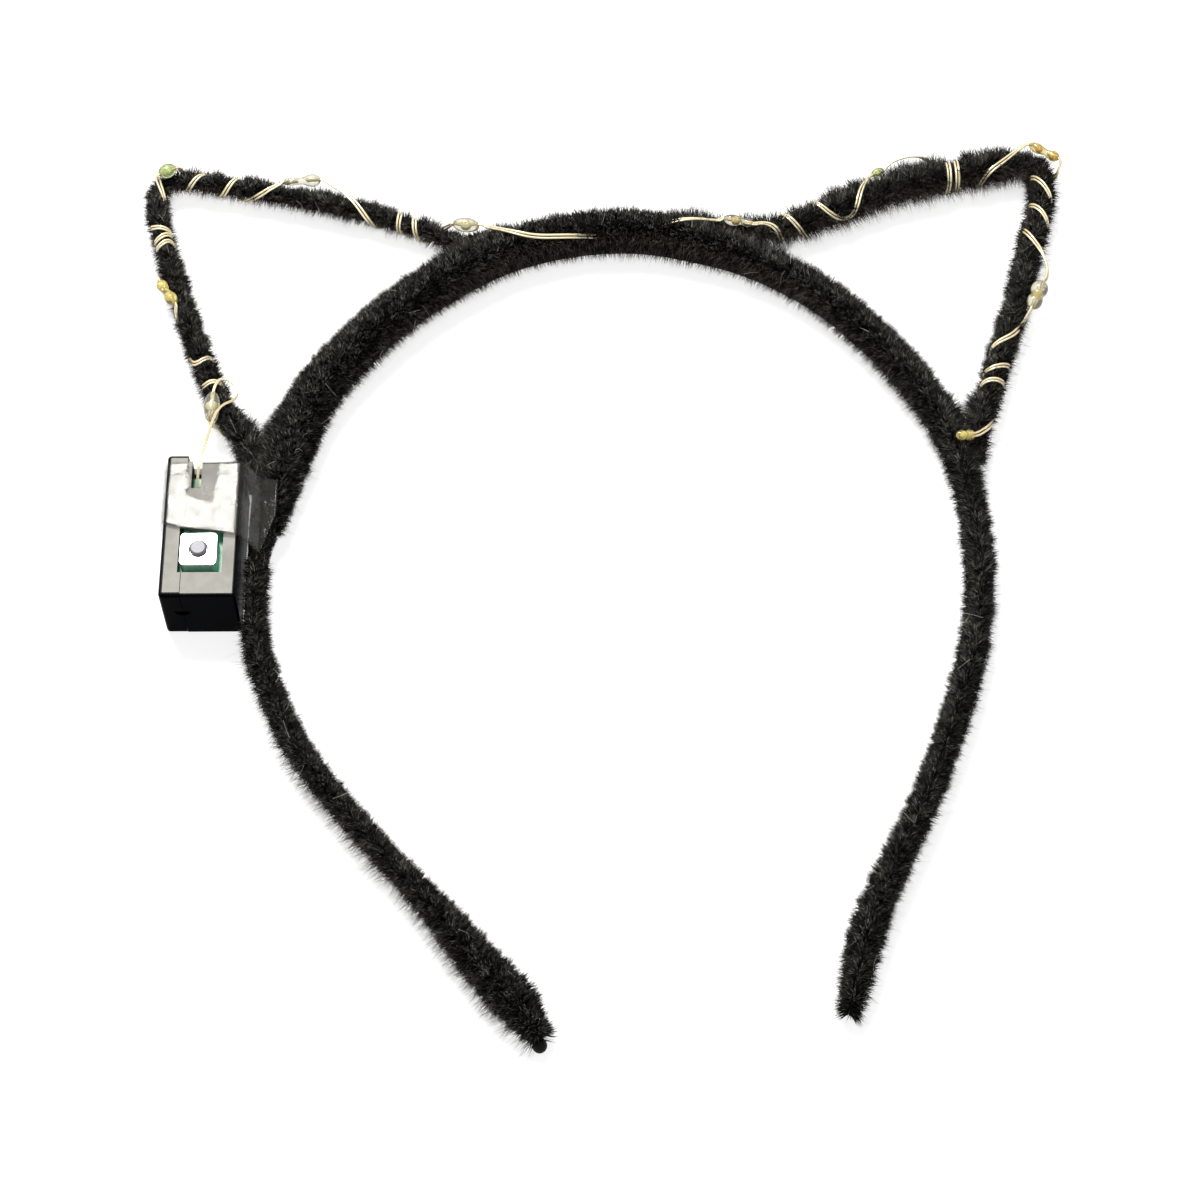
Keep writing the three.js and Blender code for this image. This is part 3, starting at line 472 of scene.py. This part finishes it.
# A brown-black copy of the pile for its south and lower sides: painted shade
SHADE_PILE = pile_material("brown_black_pile_painted_shade", "#15110f", "#322a26", "#94897e", 3.0)
GROUND = ground_material()
HAIR = hair_material()
WIRE = wire_material()
CASE = case_material()
BOARD = board_material()
STEEL = steel_material()
BUTTON = button_material()
TAPE = tape_material()
NUB = nub_material()
RESINS = {
    "clear": resin_material("clear_epoxy_resin", "#e4e2d0", "#77776a"),
    "yellow": resin_material("yellow_epoxy_resin", "#efe4a0", "#b8a24c"),
    "green": resin_material("green_epoxy_resin", "#dde4c0", "#99a574"),
    "gold": resin_material("gold_epoxy_resin", "#e6d394", "#857033"),
}
CORES = {
    "white": core_material("white_phosphor", "#f4e9b0"),
    "yellow": core_material("yellow_phosphor", "#ecc92c"),
    "green": core_material("green_phosphor", "#c4da7c"),
    "gold": core_material("gold_phosphor", "#d9b356"),
}

# Each drop of resin: the resin, how far it swells past its solid in mm, the core of each of its
# blobs, from its start to its end, and how many radii the cores lie past the blobs' middles
DROPS = [
    ("clear", 0.35, ["white"], 0.0),
    ("yellow", 0.2, ["yellow", "white"], 0.0),
    ("green", 0.14, ["green"], 0.0),
    ("clear", 0.3, ["white", None], 0.0),
    ("clear", 0.25, ["white"], 0.0),
    ("clear", 0.2, ["yellow", None], 0.45),
    ("green", 0.14, ["green"], 0.0),
    ("gold", 0.14, ["gold", "yellow"], 0.0),
    ("clear", 0.35, ["yellow", None], 0.75),
    ("yellow", 0.25, ["white", "white"], 0.0),
]


def shown(name, data):
    """A new object in the scene."""
    made = bpy.data.objects.new(name, data)
    bpy.context.scene.collection.objects.link(made)
    return made


def piece(name, mesh, finishes, body=BODY):
    """A piece of the object from a mesh in the frame's own place. It rides on a body."""
    made = shown(name, mesh)
    for finish in finishes:
        mesh.materials.append(finish)
    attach(made, body)
    return made


def made_finer(made):
    """Smooths a piece with one level of subdivision."""
    finer = made.modifiers.new("finer", "SUBSURF")
    finer.levels = finer.render_levels = 1


def merged(node):
    """A bmesh of a CAD node with its triangles joined at their points."""
    form = bmesh.new()
    form.from_mesh(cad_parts[node].data)
    bmesh.ops.remove_doubles(form, verts=form.verts, dist=JOINED)
    return form


def flattened(node):
    """The same with each flat face as one."""
    form = merged(node)
    bmesh.ops.dissolve_limit(form, angle_limit=FLAT, verts=form.verts, edges=form.edges)
    return form


def mesh_of(form, name, smooth=True):
    """A mesh from a bmesh, which is freed."""
    mesh = bpy.data.meshes.new(name)
    form.to_mesh(mesh)
    form.free()
    for face in mesh.polygons:
        face.use_smooth = smooth
    return mesh


def rings_of(node):
    """The rings of points round a CAD node's middle line, from its one end to the other."""
    form = merged(node)
    # The point at an end is the only one whose neighbours all have five edges
    ends = [v for v in form.verts if all(len(e.other_vert(v).link_edges) == 5 for e in v.link_edges)]
    ring, seen, rings = {ends[0]}, {ends[0]}, []
    while ring:
        rings.append(np.array([v.co for v in ring], float))
        ring = {e.other_vert(v) for v in ring for e in v.link_edges} - seen
        seen |= ring
    form.free()
    return rings


def tree_of(points):
    """The points in a tree, to look up the nearest."""
    tree = KDTree(len(points))
    for i, point in enumerate(points):
        tree.insert(point, i)
    tree.balance()
    return tree


def distances(tree, places):
    """How far each place is from the nearest point of a tree."""
    return np.array([tree.find(place)[2] for place in places])


def step(value, low, high):
    """0 below low and 1 above high, smooth between them."""
    share = np.clip((value - low) / (high - low), 0, 1)
    return share * share * (3 - 2 * share)


def within(value, stretch):
    """1 in the middle of a stretch and 0 outside it, smooth at both ends."""
    return step(value, stretch[0], stretch[1]) * (1 - step(value, stretch[2], stretch[3]))


class Strand:
    """A plush-covered strand: its middle line and its half sizes, read from a CAD node's rings."""

    STEPS = 2400

    def __init__(self, node):
        rings = rings_of(node)
        if rings[0][0][0] > rings[-1][0][0]:
            rings.reverse()
        middle = np.array([ring.mean(axis=0) for ring in rings])
        away = self.outward(middle)
        sides = [(ring - c) @ n for ring, c, n in zip(rings, middle, away)]
        thick = np.array([(s.max() - s.min()) / 2 for s in sides])
        tall = np.array([(ring[:, 2].max() - ring[:, 2].min()) / 2 for ring in rings])
        gone = np.r_[0, np.cumsum(np.linalg.norm(np.diff(middle, axis=0), axis=1))]
        self.length = gone[-1]
        self.gone = np.linspace(0, self.length, self.STEPS)
        columns = np.column_stack([middle, thick, tall])
        dense = np.column_stack([np.interp(self.gone, gone, c) for c in columns.T])
        dense = self.eased(dense, EASED)
        self.middle, self.thick, self.tall = dense[:, :3], dense[:, 3], dense[:, 4]
        self.away = self.outward(self.middle)
        self.tree = tree_of(self.middle)

    @staticmethod
    def outward(points):
        """The level way across the line at each point."""
        along = np.gradient(points, axis=0)
        away = np.cross(UP, along)
        return away / np.linalg.norm(away, axis=1, keepdims=True)

    def eased(self, table, width):
        """Evens the table out over a width, so that the facets don't show."""
        half = max(1, int(width / self.length * self.STEPS))
        kernel = np.hanning(2 * half + 3)
        kernel /= kernel.sum()
        padded = np.pad(table, ((half + 1, half + 1), (0, 0)), mode="edge")
        return np.column_stack([np.convolve(c, kernel, mode="valid") for c in padded.T])

    def spots(self, count, low, high):
        """Random spots on a stretch: the index along the strand and the angle round it."""
        share = np.arange(self.STEPS) / (self.STEPS - 1)
        ends = np.minimum(self.gone, self.length - self.gone)
        girth = np.maximum(self.thick + self.tall, LEAST_GIRTH)
        girth *= TIP_DENSITY - (TIP_DENSITY - 1) * step(ends, 0, TIP)
        girth *= (share >= low) & (share <= high)
        chance = np.cumsum(girth) / girth.sum()
        index = np.searchsorted(chance, random.random(count)).clip(0, self.STEPS - 1)
        turn = random.random(count) * 2 * np.pi
        below = (np.sin(turn) < UNDERSIDE) & (random.random(count) < UNDERSIDE_MOVED)
        turn[below] = -turn[below]
        return index, turn

    def surface(self, index, turn):
        """Places on the strand's outer form, with the normals there."""
        side = self.away[index] * np.cos(turn)[:, None]
        rise = UP * np.sin(turn)[:, None]
        thick, tall = self.thick[index][:, None], self.tall[index][:, None]
        place = self.middle[index] + side * thick + rise * tall
        normal = side * tall + rise * thick
        return place, normal / np.linalg.norm(normal, axis=1, keepdims=True)


STRANDS = {name: Strand(name) for name in FIBRES}
WIRES = [f"light_wire_{i}" for i in range(1, 11)]
BEADS = [f"led_bead_{i}" for i in range(1, 11)]


def middle_of(node):
    """The middle of a CAD node's box."""
    low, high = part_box(node)
    return np.array((low + high) / 2)


def wire_line(number):
    """The middle of a stretch of wire up to its drop, the way across its two strands, and which of its
    points lie bare on top of the pile."""
    rings = rings_of(WIRES[number])[1:-1]
    goal = middle_of(BEADS[number])
    if np.linalg.norm(rings[0][0] - goal) < np.linalg.norm(rings[-1][0] - goal):
        rings.reverse()
    middle = np.array([ring.mean(axis=0) for ring in rings])
    across = []
    for ring, centre in zip(rings, middle):
        far = ring[np.argmax(np.linalg.norm(ring - centre, axis=1))] - centre
        if across and far @ across[-1] < 0:
            far = -far
        across.append(far / np.linalg.norm(far))
    middle, bare = settled(middle)
    for weight in EVENED:
        middle[1:-1] += weight * ((middle[:-2] + middle[2:]) / 2 - middle[1:-1])
    return middle, np.array(across), bare


def nearest(strand, places):
    """For each place: the index of the strand's nearest point, how far off its surface is, and the way
    out to the place."""
    index = np.array([strand.tree.find(place)[1] for place in places])
    way = places - strand.middle[index]
    out = (way * strand.away[index]).sum(axis=1)
    half = np.hypot(out / strand.thick[index], way[:, 2] / strand.tall[index])
    far = np.linalg.norm(way, axis=1)
    return index, far * (1 - 1 / np.maximum(half, 0.01)), way / far[:, None]


def settled(middle):
    """A stretch of wire with its turns drawn into the pile at the strands' sides, and which of its
    points lie bare on top."""
    bare = np.ones(len(middle), bool)
    for strand in STRANDS.values():
        _, gap, way = nearest(strand, middle)
        close = 1 - step(gap, *SINK_REACH)
        low = 1 - step(way[:, 2], *UPWARD)
        middle = middle - way * (close * SUNK * (SUNK_ON_TOP + (1 - SUNK_ON_TOP) * low))[:, None]
        bare &= (close < 0.5) | (low < BARE)
    crown = within(middle[:, 0], CROWN_WIRE)
    middle[:, 1] += crown * WIRE_FURTHER
    middle[:, 2] += crown * WIRE_HIGHER
    middle[:, 2] -= within(middle[:, 0], HIDDEN_WIRE) * BURIED
    return middle, bare


WIRE_LINES = [wire_line(number) for number in range(len(WIRES))]


def pressed_points():
    """Points of the wire and of the drops, which hold the pile down, and those that it covers."""
    press, cover = [], []
    for middle, _, bare in WIRE_LINES:
        for i, (start, end) in enumerate(zip(middle, middle[1:])):
            for share in (0.0, 0.25, 0.5, 0.75):
                point = start + (end - start) * share
                if HIDDEN_WIRE[0] < point[0] < HIDDEN_WIRE[-1]:
                    cover.append(point)
                elif bare[i] and bare[i + 1]:
                    press.append(point)
    for node in BEADS:
        press.extend(v.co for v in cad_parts[node].data.vertices)
    return press, cover


PRESS, COVER = (tree_of(points) for points in pressed_points())


def under_case(place):
    """Whether a place is beside the battery case or under its tape, where the pile lies flat."""
    low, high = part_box("case_body")
    beside = (place[:, 0] < high.x + CASE_REACH) & (place[:, 1] > low.y) & (place[:, 1] < high.y)
    low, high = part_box("tape")
    below = (place[:, 0] < high.x) & (place[:, 1] > low.y) & (place[:, 1] < high.y)
    return beside | below


def spikes(name, root, tip, width, tone):
    """A mesh of closed thin spikes, one for each fibre: four points and four triangles each. This
    is made from arrays, because an operator is too slow for so many."""
    count = len(root)
    along = tip - root
    along /= np.linalg.norm(along, axis=1, keepdims=True)
    side = np.cross(along, random.normal(size=(count, 3)))
    side /= np.linalg.norm(side, axis=1, keepdims=True)
    other = np.cross(along, side)
    points = np.empty((count, 4, 3), np.float32)
    for k in range(3):
        angle = 2 * math.pi * k / 3
        points[:, k] = root + (side * math.cos(angle) + other * math.sin(angle)) * width[:, None] / 2
    points[:, :3, 2] = np.maximum(points[:, :3, 2], FLOOR_GAP)
    points[:, 3] = tip
    faces = np.array([(0, 1, 3), (1, 2, 3), (2, 0, 3), (0, 2, 1)], np.int32)
    corners = (np.arange(count, dtype=np.int32)[:, None, None] * 4 + faces).reshape(-1)
    mesh = bpy.data.meshes.new(name)
    mesh.vertices.add(count * 4)
    mesh.loops.add(count * 12)
    mesh.polygons.add(count * 4)
    mesh.vertices.foreach_set("co", points.reshape(-1))
    mesh.loops.foreach_set("vertex_index", corners)
    mesh.polygons.foreach_set("loop_start", np.arange(0, count * 12, 3, dtype=np.int32))
    mesh.update(calc_edges=True)
    heights = (corners % 4 == 3).astype(np.float32)
    tones = np.repeat(tone, 12).astype(np.float32)
    layer = mesh.uv_layers.new(name="fibre")
    layer.data.foreach_set("uv", np.column_stack([tones, heights]).reshape(-1))
    return mesh


def shaded(normal, south, down, low, high):
    """How much a side is shaded, from 0 to 1."""
    return step(-normal[:, 1] * south - normal[:, 2] * down, low, high)


def fuller(place, normal):
    """How much the band stands out past its solid: on the two sides of the crown."""
    return CROWN_FULL * within(place[:, 0], CROWN_PILE) * step(abs(normal[:, 1]), *CROWN_SIDES)


def tufts_of(strand, index, turn):
    """Four random shares for each fibre's tuft, and the way to the tuft's middle, along and round."""
    count = len(index)
    gone = strand.gone[index] + random.normal(size=count) * TUFT * TUFT_BLUR
    girth = turn * (strand.thick + strand.tall)[index] / 2
    girth += random.normal(size=count) * TUFT * TUFT_BLUR
    cell = np.column_stack([np.floor(gone / TUFT), np.floor(girth / TUFT)]).astype(np.int64)
    # Two primes spread the tufts that lie side by side over the table
    kind = (cell[:, 0] * 7919 + cell[:, 1] * 104729) % TUFT_KINDS
    clump = ((cell + 0.5) * TUFT - np.column_stack([gone, girth])) * CLING
    return random.random((TUFT_KINDS, 4))[kind], clump


def joined(strand, place, normal):
    """How much higher the pile is where it grows together with another strand's."""
    more = np.zeros(len(place))
    for other in STRANDS.values():
        if other is not strand:
            _, gap, off = nearest(other, place)
            facing = np.clip(-(normal * off).sum(axis=1), 0, 1)
            close = 1 - step(gap, JOIN * JOIN_FULL, JOIN)
            more += facing * close * (np.maximum(gap, 0) * JOIN_SHARE + JOIN_MORE)
    return more


def heights_of(node, index, place, normal, tuft, shade):
    """How far the fibres stand out, and which of them are long and which are fuzz."""
    strand = STRANDS[node]
    count = len(index)
    first, second = HEIGHTS[node]
    half = step(strand.gone[index] / strand.length, *HALVES)
    height = (first + (second - first) * half) * MM * (1 + (SHADE_HEIGHT - 1) * shade)
    height *= TUFT_HEIGHT + (tuft - 0.5) * TUFT_SPREAD * (1 - TUFTS_EVENED * shade)
    height *= FIBRE_HEIGHT + (random.random(count) - 0.5) * FIBRE_SPREAD * (1 - FIBRES_EVENED * shade)
    long = random.random(count) < LONG_SHARE * (1 - shade)
    height[long] *= LONG_HEIGHT
    leg = step(-place[:, 1], *LEG) * (place[:, 0] < 0)
    height *= 1 - LEG_LOWER * leg * shade
    fuzz = random.random(count) < FUZZ * shade * (1 + LEG_FUZZ * leg)
    height[fuzz] *= FUZZ_HEIGHT + LEG_FUZZ_HEIGHT * leg[fuzz]

    spot = place + normal * PRESS_HEIGHT
    height *= PRESSED + (1 - PRESSED) * step(distances(PRESS, spot), *PRESS_REACH)
    height += COVER_HIGHER * (1 - step(distances(COVER, spot), *COVER_REACH))
    height += joined(strand, place, normal)
    height[under_case(place)] *= CASE_PRESSED
    if node == "band":
        reach = int(BLUNT / strand.length * strand.STEPS)
        inner = index.clip(reach, strand.STEPS - 1 - reach)
        height += BLUNT_SHARE * (strand.thick[inner] - strand.thick[index])
    return height, long, fuzz


def add_pile(node, part, parts):
    """The fibres of one stretch of a strand. They lean and cling together in tufts."""
    strand = STRANDS[node]
    count = FIBRES[node] // parts
    index, turn = strand.spots(count, part / parts, (part + 1) / parts)
    place, normal = strand.surface(index, turn)
    if node == "band":
        place += normal * fuller(place, normal)[:, None]
    along = np.cross(strand.away[index], UP)
    round_it = np.cross(along, normal)
    shade = shaded(normal, *SHADE)

    tufts, clump = tufts_of(strand, index, turn)
    lean_along = (tufts[:, 0] - 0.5) * TUFT_LEAN_ALONG + random.normal(size=count) * FIBRE_LEAN
    lean_round = (tufts[:, 1] - 0.5) * TUFT_LEAN_ROUND + random.normal(size=count) * FIBRE_LEAN
    height, long, fuzz = heights_of(node, index, place, normal, tufts[:, 2], shade)
    fine = np.maximum(shade, long)

    first = 1 - step(strand.gone[index], 0, TIP)
    last = 1 - step(strand.length - strand.gone[index], 0, TIP)
    way = normal + along * (lean_along * (1 - LEAN_EVENED * shade) + last - first)[:, None]
    way += round_it * (lean_round * (1 - LEAN_EVENED * shade))[:, None]
    way /= np.linalg.norm(way, axis=1, keepdims=True)
    root = place - normal * ROOT_DEPTH
    tip = place + way * height[:, None]
    clump *= (1 - CLING_EVENED * fine)[:, None]
    tip += along * clump[:, :1] + round_it * clump[:, 1:]
    root[:, 2] = np.maximum(root[:, 2], FLOOR_GAP)
    tip[:, 2] = np.maximum(tip[:, 2], FLOOR_GAP)

    width = FIBRE_WIDTH * (THINNEST + WIDTH_SPREAD * random.random(count)) * (1 - SHADE_FINER * fine)
    tone = np.clip(tufts[:, 3] * TUFT_TONE + random.random(count) * FIBRE_TONE, 0, 1)
    # The fibres on the shaded sides are painted darker: painted shade
    tone *= 1 - SHADE_DARKER * shade
    width[fuzz] *= FUZZ_WIDTH
    tone[fuzz] = FUZZ_TONE
    name = f"{node}_pile_{part + 1}"
    made = piece(name, spikes(name, root, tip, width, tone), [PILE, SHADE_PILE])
    # Fibres on the shaded sides take the brown-black copy of the pile: painted shade
    brown_shade = random.random(count) < BROWN_SHADE_SHARE * shaded(normal, *BROWN_SHADE)
    made.data.polygons.foreach_set("material_index", np.repeat(brown_shade, 4).astype(np.int32))


def add_ground(node):
    """The pile's ground: the CAD solid, a little smaller and smooth."""
    form = merged(node)
    form.normal_update()
    places = np.array([v.co for v in form.verts])
    normals = np.array([v.normal for v in form.verts])
    grow = np.full(len(places), -GROUND_DEPTH)
    if node == "band":
        grow += fuller(places, normals)
    for vert, place in zip(form.verts, places + normals * grow[:, None]):
        vert.co = place
        vert.co.z = max(vert.co.z, FLOOR_GAP)
    made = piece(f"{node}_ground", mesh_of(form, f"{node}_ground"), [GROUND])
    made_finer(made)
    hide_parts(node)


def add_plush():
    for node in FIBRES:
        add_ground(node)
        for part in range(PARTS[node]):
            add_pile(node, part, PARTS[node])


def curve_mesh(name, lines, radius, sides=2):
    """A mesh of round tubes along lines of points."""
    curve = bpy.data.curves.new(name, "CURVE")
    curve.dimensions = "3D"
    curve.bevel_depth = radius
    curve.bevel_resolution = sides
    curve.resolution_u = 5
    curve.use_fill_caps = True
    for line in lines:
        spline = curve.splines.new("BEZIER")
        spline.bezier_points.add(len(line) - 1)
        for point, place in zip(spline.bezier_points, line):
            point.co = place
            point.handle_left_type = point.handle_right_type = "AUTO"
    holder = shown(name, curve)
    bpy.context.view_layer.update()
    mesh = bpy.data.meshes.new_from_object(holder.evaluated_get(bpy.context.evaluated_depsgraph_get()))
    bpy.data.objects.remove(holder)
    mesh.name = name
    return mesh


def add_wire(number, node):
    """A stretch of the string: two strands that run on into the drops at its ends."""
    middle, across, _ = WIRE_LINES[number]
    ends = [(-1, BEADS[number])]
    if number > 0:
        ends.append((0, BEADS[number - 1]))
    apart, radius = (STRAND_APART, STRAND_RADIUS) if number > 0 else (LEAD_APART, LEAD_RADIUS)
    lines = []
    for side in (-0.5, 0.5):
        line = [Vector(p) for p in middle + across * apart * side]
        for end, bead in ends:
            near = line[end].lerp(Vector(middle_of(bead)), INTO_DROP)
            near += Vector(across[end]) * apart * side * DROP_APART
            line.insert(0 if end == 0 else len(line), near)
        lines.append(line)
    made = piece(f"{node}_strands", curve_mesh(f"{node}_strands", lines, radius), [WIRE])
    for face in made.data.polygons:
        face.use_smooth = True
    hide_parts(node)


def blob_middles(number):
    """The middles and radii of a drop's blobs, where its rings are widest, and its axis."""
    rings = rings_of(BEADS[number])
    come = WIRE_LINES[number][0][-1]
    if np.linalg.norm(rings[0][0] - come) > np.linalg.norm(rings[-1][0] - come):
        rings.reverse()
    start, end = rings[0][0], rings[-1][0]
    radii = [np.linalg.norm(r - r.mean(axis=0), axis=1).mean() for r in rings]
    found = []
    for i in range(1, len(rings) - 1):
        if radii[i] >= radii[i - 1] and radii[i] > radii[i + 1] and radii[i] > LEAST_BLOB:
            found.append((rings[i].mean(axis=0), radii[i]))
    return found, (end - start) / np.linalg.norm(end - start)


def add_drop(number, node):
    """A drop of resin with the light's chip and phosphor inside it."""
    resin, swell, cores, shift = DROPS[number]
    form = merged(node)
    form.normal_update()
    for vert in form.verts:
        vert.co += vert.normal * swell * MM
    made = piece(f"{node}_resin", mesh_of(form, f"{node}_resin"), [RESINS[resin]])
    made_finer(made)
    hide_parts(node)
    found, axis = blob_middles(number)
    turned = Vector((1, 0, 0)).rotation_difference(Vector(axis)).to_matrix().to_4x4()
    inner = bmesh.new()
    for (middle, radius), core in zip(found, cores):
        if core is None:
            continue
        finish = CORES[core]
        place = Matrix.Translation(Vector(middle + axis * radius * shift)) @ turned
        size = Matrix.Diagonal((*(radius * share for share in CORE_SHAPE), 1))
        bmesh.ops.create_icosphere(inner, subdivisions=2, radius=1, matrix=place @ size)
    piece(f"{node}_core", mesh_of(inner, f"{node}_core"), [finish])


def add_string():
    for number, node in enumerate(WIRES):
        add_wire(number, node)
    for number, node in enumerate(BEADS):
        add_drop(number, node)


def add_hard(node, name, width, finish):
    """A hard CAD piece with its outer edges rounded, as a mould or a press leaves them. Along the
    case's seam they stay sharp, and the cover closes on the body there."""
    form = flattened(node)
    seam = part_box("case_body")[0].x
    beside = [v for v in form.verts if abs(v.co.x - seam) < SEAM_REACH]
    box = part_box(node)
    outer = []
    for edge in form.edges:
        middle = (edge.verts[0].co + edge.verts[1].co) / 2
        sides = sum(abs(middle[k] - corner[k]) < ON_SIDE for corner in box for k in range(3))
        if sides > 1 and edge.calc_length() > SHORT_EDGE and not all(v in beside for v in edge.verts):
            outer.append(edge)
    if node == "case_cover":
        for vert in beside:
            vert.co.x += SEAM_CLOSED
    bmesh.ops.bevel(
        form, geom=outer, offset=width, segments=5, profile=0.5, affect="EDGES",
        clamp_overlap=False, material=-1,
    )
    made = piece(name, mesh_of(form, name, smooth=False), [finish])
    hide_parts(node)


def add_case():
    """The case, its board and the switch's cover."""
    for (node, name, width, slot), finish in zip(HARD, (CASE, CASE, BOARD, STEEL)):
        add_hard(node, name, width * MM, finish)


def add_button():
    """The switch's plunger, with its rims rounded. It rides on the button."""
    form = flattened("switch_button")
    rims = [e for e in form.edges if e.calc_face_angle(0) > BUTTON_EDGE]
    bmesh.ops.bevel(
        form, geom=rims, offset=BUTTON_ROUNDED, segments=3, profile=0.5, affect="EDGES",
        clamp_overlap=True, material=-1,
    )
    mesh = mesh_of(form, "switch_plunger", smooth=False)
    made = piece("switch_plunger", mesh, [BUTTON], body="button")
    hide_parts("switch_button")


def add_tape():
    """The tape: the CAD film, finer and uneven, with a round bend over the case's far edge."""
    form = merged("tape")
    bmesh.ops.subdivide_edges(form, edges=form.edges, cuts=TAPE_CUTS, use_grid_fill=True)
    for vert in form.verts:
        out, up = TAPE_ROUND[0] - vert.co.x, vert.co.z - TAPE_ROUND[1]
        if out > 0 and up > 0:
            share = max(out, up) / math.hypot(out, up)
            vert.co.x = TAPE_ROUND[0] - out * share
            vert.co.z = TAPE_ROUND[1] + up * share
        vert.co.z += noise.noise(vert.co / TAPE_WAVES) * TAPE_UNEVEN
    made = piece("tape_film", mesh_of(form, "tape_film"), [TAPE])
    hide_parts("tape")


def add_nub():
    """The nub at the left tip, set a little deeper in the pile."""
    form = merged("left_tip_cap")
    bmesh.ops.translate(form, verts=form.verts, vec=NUB_DEEPER)
    made = piece("left_tip_nub", mesh_of(form, "left_tip_nub"), [NUB])
    made_finer(made)
    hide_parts("left_tip_cap")


def add_stray_hairs():
    """Pale hairs that lie loose on the pile."""
    lines = []
    names = list(STRANDS)
    start_height, height, end_height = STRAY_HEIGHTS
    for pick in random.choice(len(names), size=STRAY_HAIRS, p=STRAY_SHARES):
        strand = STRANDS[names[pick]]
        index, turn = strand.spots(1, 0.02, 0.98)
        place, normal = (row[0] for row in strand.surface(index, turn))
        if place[2] < STRAY_LOWEST:
            continue
        way = random.normal(size=3)
        way -= normal * (way @ normal)
        way /= np.linalg.norm(way)
        half = (STRAY_SHORT + STRAY_SPREAD * random.random()) * MM
        bend = random.normal(size=3) * STRAY_BEND
        lines.append([
            Vector(place - way * half + normal * start_height),
            Vector(place + bend + normal * height),
            Vector(place + way * half + normal * end_height),
        ])
    piece("stray_hairs", curve_mesh("stray_hairs", lines, STRAY_RADIUS, sides=0), [HAIR])


def add_camera():
    """The camera, turned to the place it looks at."""
    data = bpy.data.cameras.new("camera")
    data.lens = LENS
    data.sensor_width = SENSOR
    data.clip_start = 10 * MM
    data.clip_end = 20
    made = shown("camera", data)
    back = Vector((-math.sin(VIEW_TURN), -math.cos(VIEW_TURN), 0)) * math.cos(VIEW_ELEVATION)
    back.z = math.sin(VIEW_ELEVATION)
    aim = Vector(middle_of("switch_button")) + VIEW_PAST_BUTTON
    aim.z = VIEW_HEIGHT
    made.location = aim + back * VIEW_DISTANCE
    made.rotation_mode = "QUATERNION"
    made.rotation_quaternion = (-back).to_track_quat("-Z", "Y")
    bpy.context.scene.camera = made


def add_floor():
    """The plain floor, which isn't a part of the object."""
    form = bmesh.new()
    bmesh.ops.create_grid(form, x_segments=1, y_segments=1, size=FLOOR_SIZE)
    mesh = mesh_of(form, "floor", smooth=False)
    mesh.materials.append(floor_material())
    shown("floor", mesh)


def add_light(name, place, aim, size, power, colour):
    """A square area light that shines towards a place."""
    data = bpy.data.lights.new(name, "AREA")
    data.shape = "SQUARE"
    data.size = size
    data.energy = power
    data.color = linear(colour)[:3]
    made = shown(name, data)
    made.location = place
    made.rotation_mode = "QUATERNION"
    made.rotation_quaternion = (Vector(aim) - Vector(place)).to_track_quat("-Z", "Y")


def add_studio():
    """A soft box beyond the ears, where the case's face mirrors it, and an even white surround."""
    case = (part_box("case_body")[0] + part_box("case_body")[1]) / 2
    to_eye = (bpy.context.scene.camera.location - case).normalized()
    mirrored = Vector((-to_eye.x, -to_eye.y, to_eye.z))
    add_light("soft_box", case + mirrored * BOX_DISTANCE, case, BOX_SIZE, BOX_POWER, "#fffdf8")
    world = bpy.data.worlds.new("studio")
    world.use_nodes = True
    feed(world.node_tree, world.node_tree.nodes["Background"], {
        "Color": linear("#ffffff"), "Strength": SURROUND,
    })
    bpy.context.scene.world = world
    bpy.context.scene.view_settings.view_transform = "Standard"


add_camera()
add_string()
add_plush()
add_case()
add_button()
add_tape()
add_nub()
add_stray_hairs()
add_floor()
add_studio()
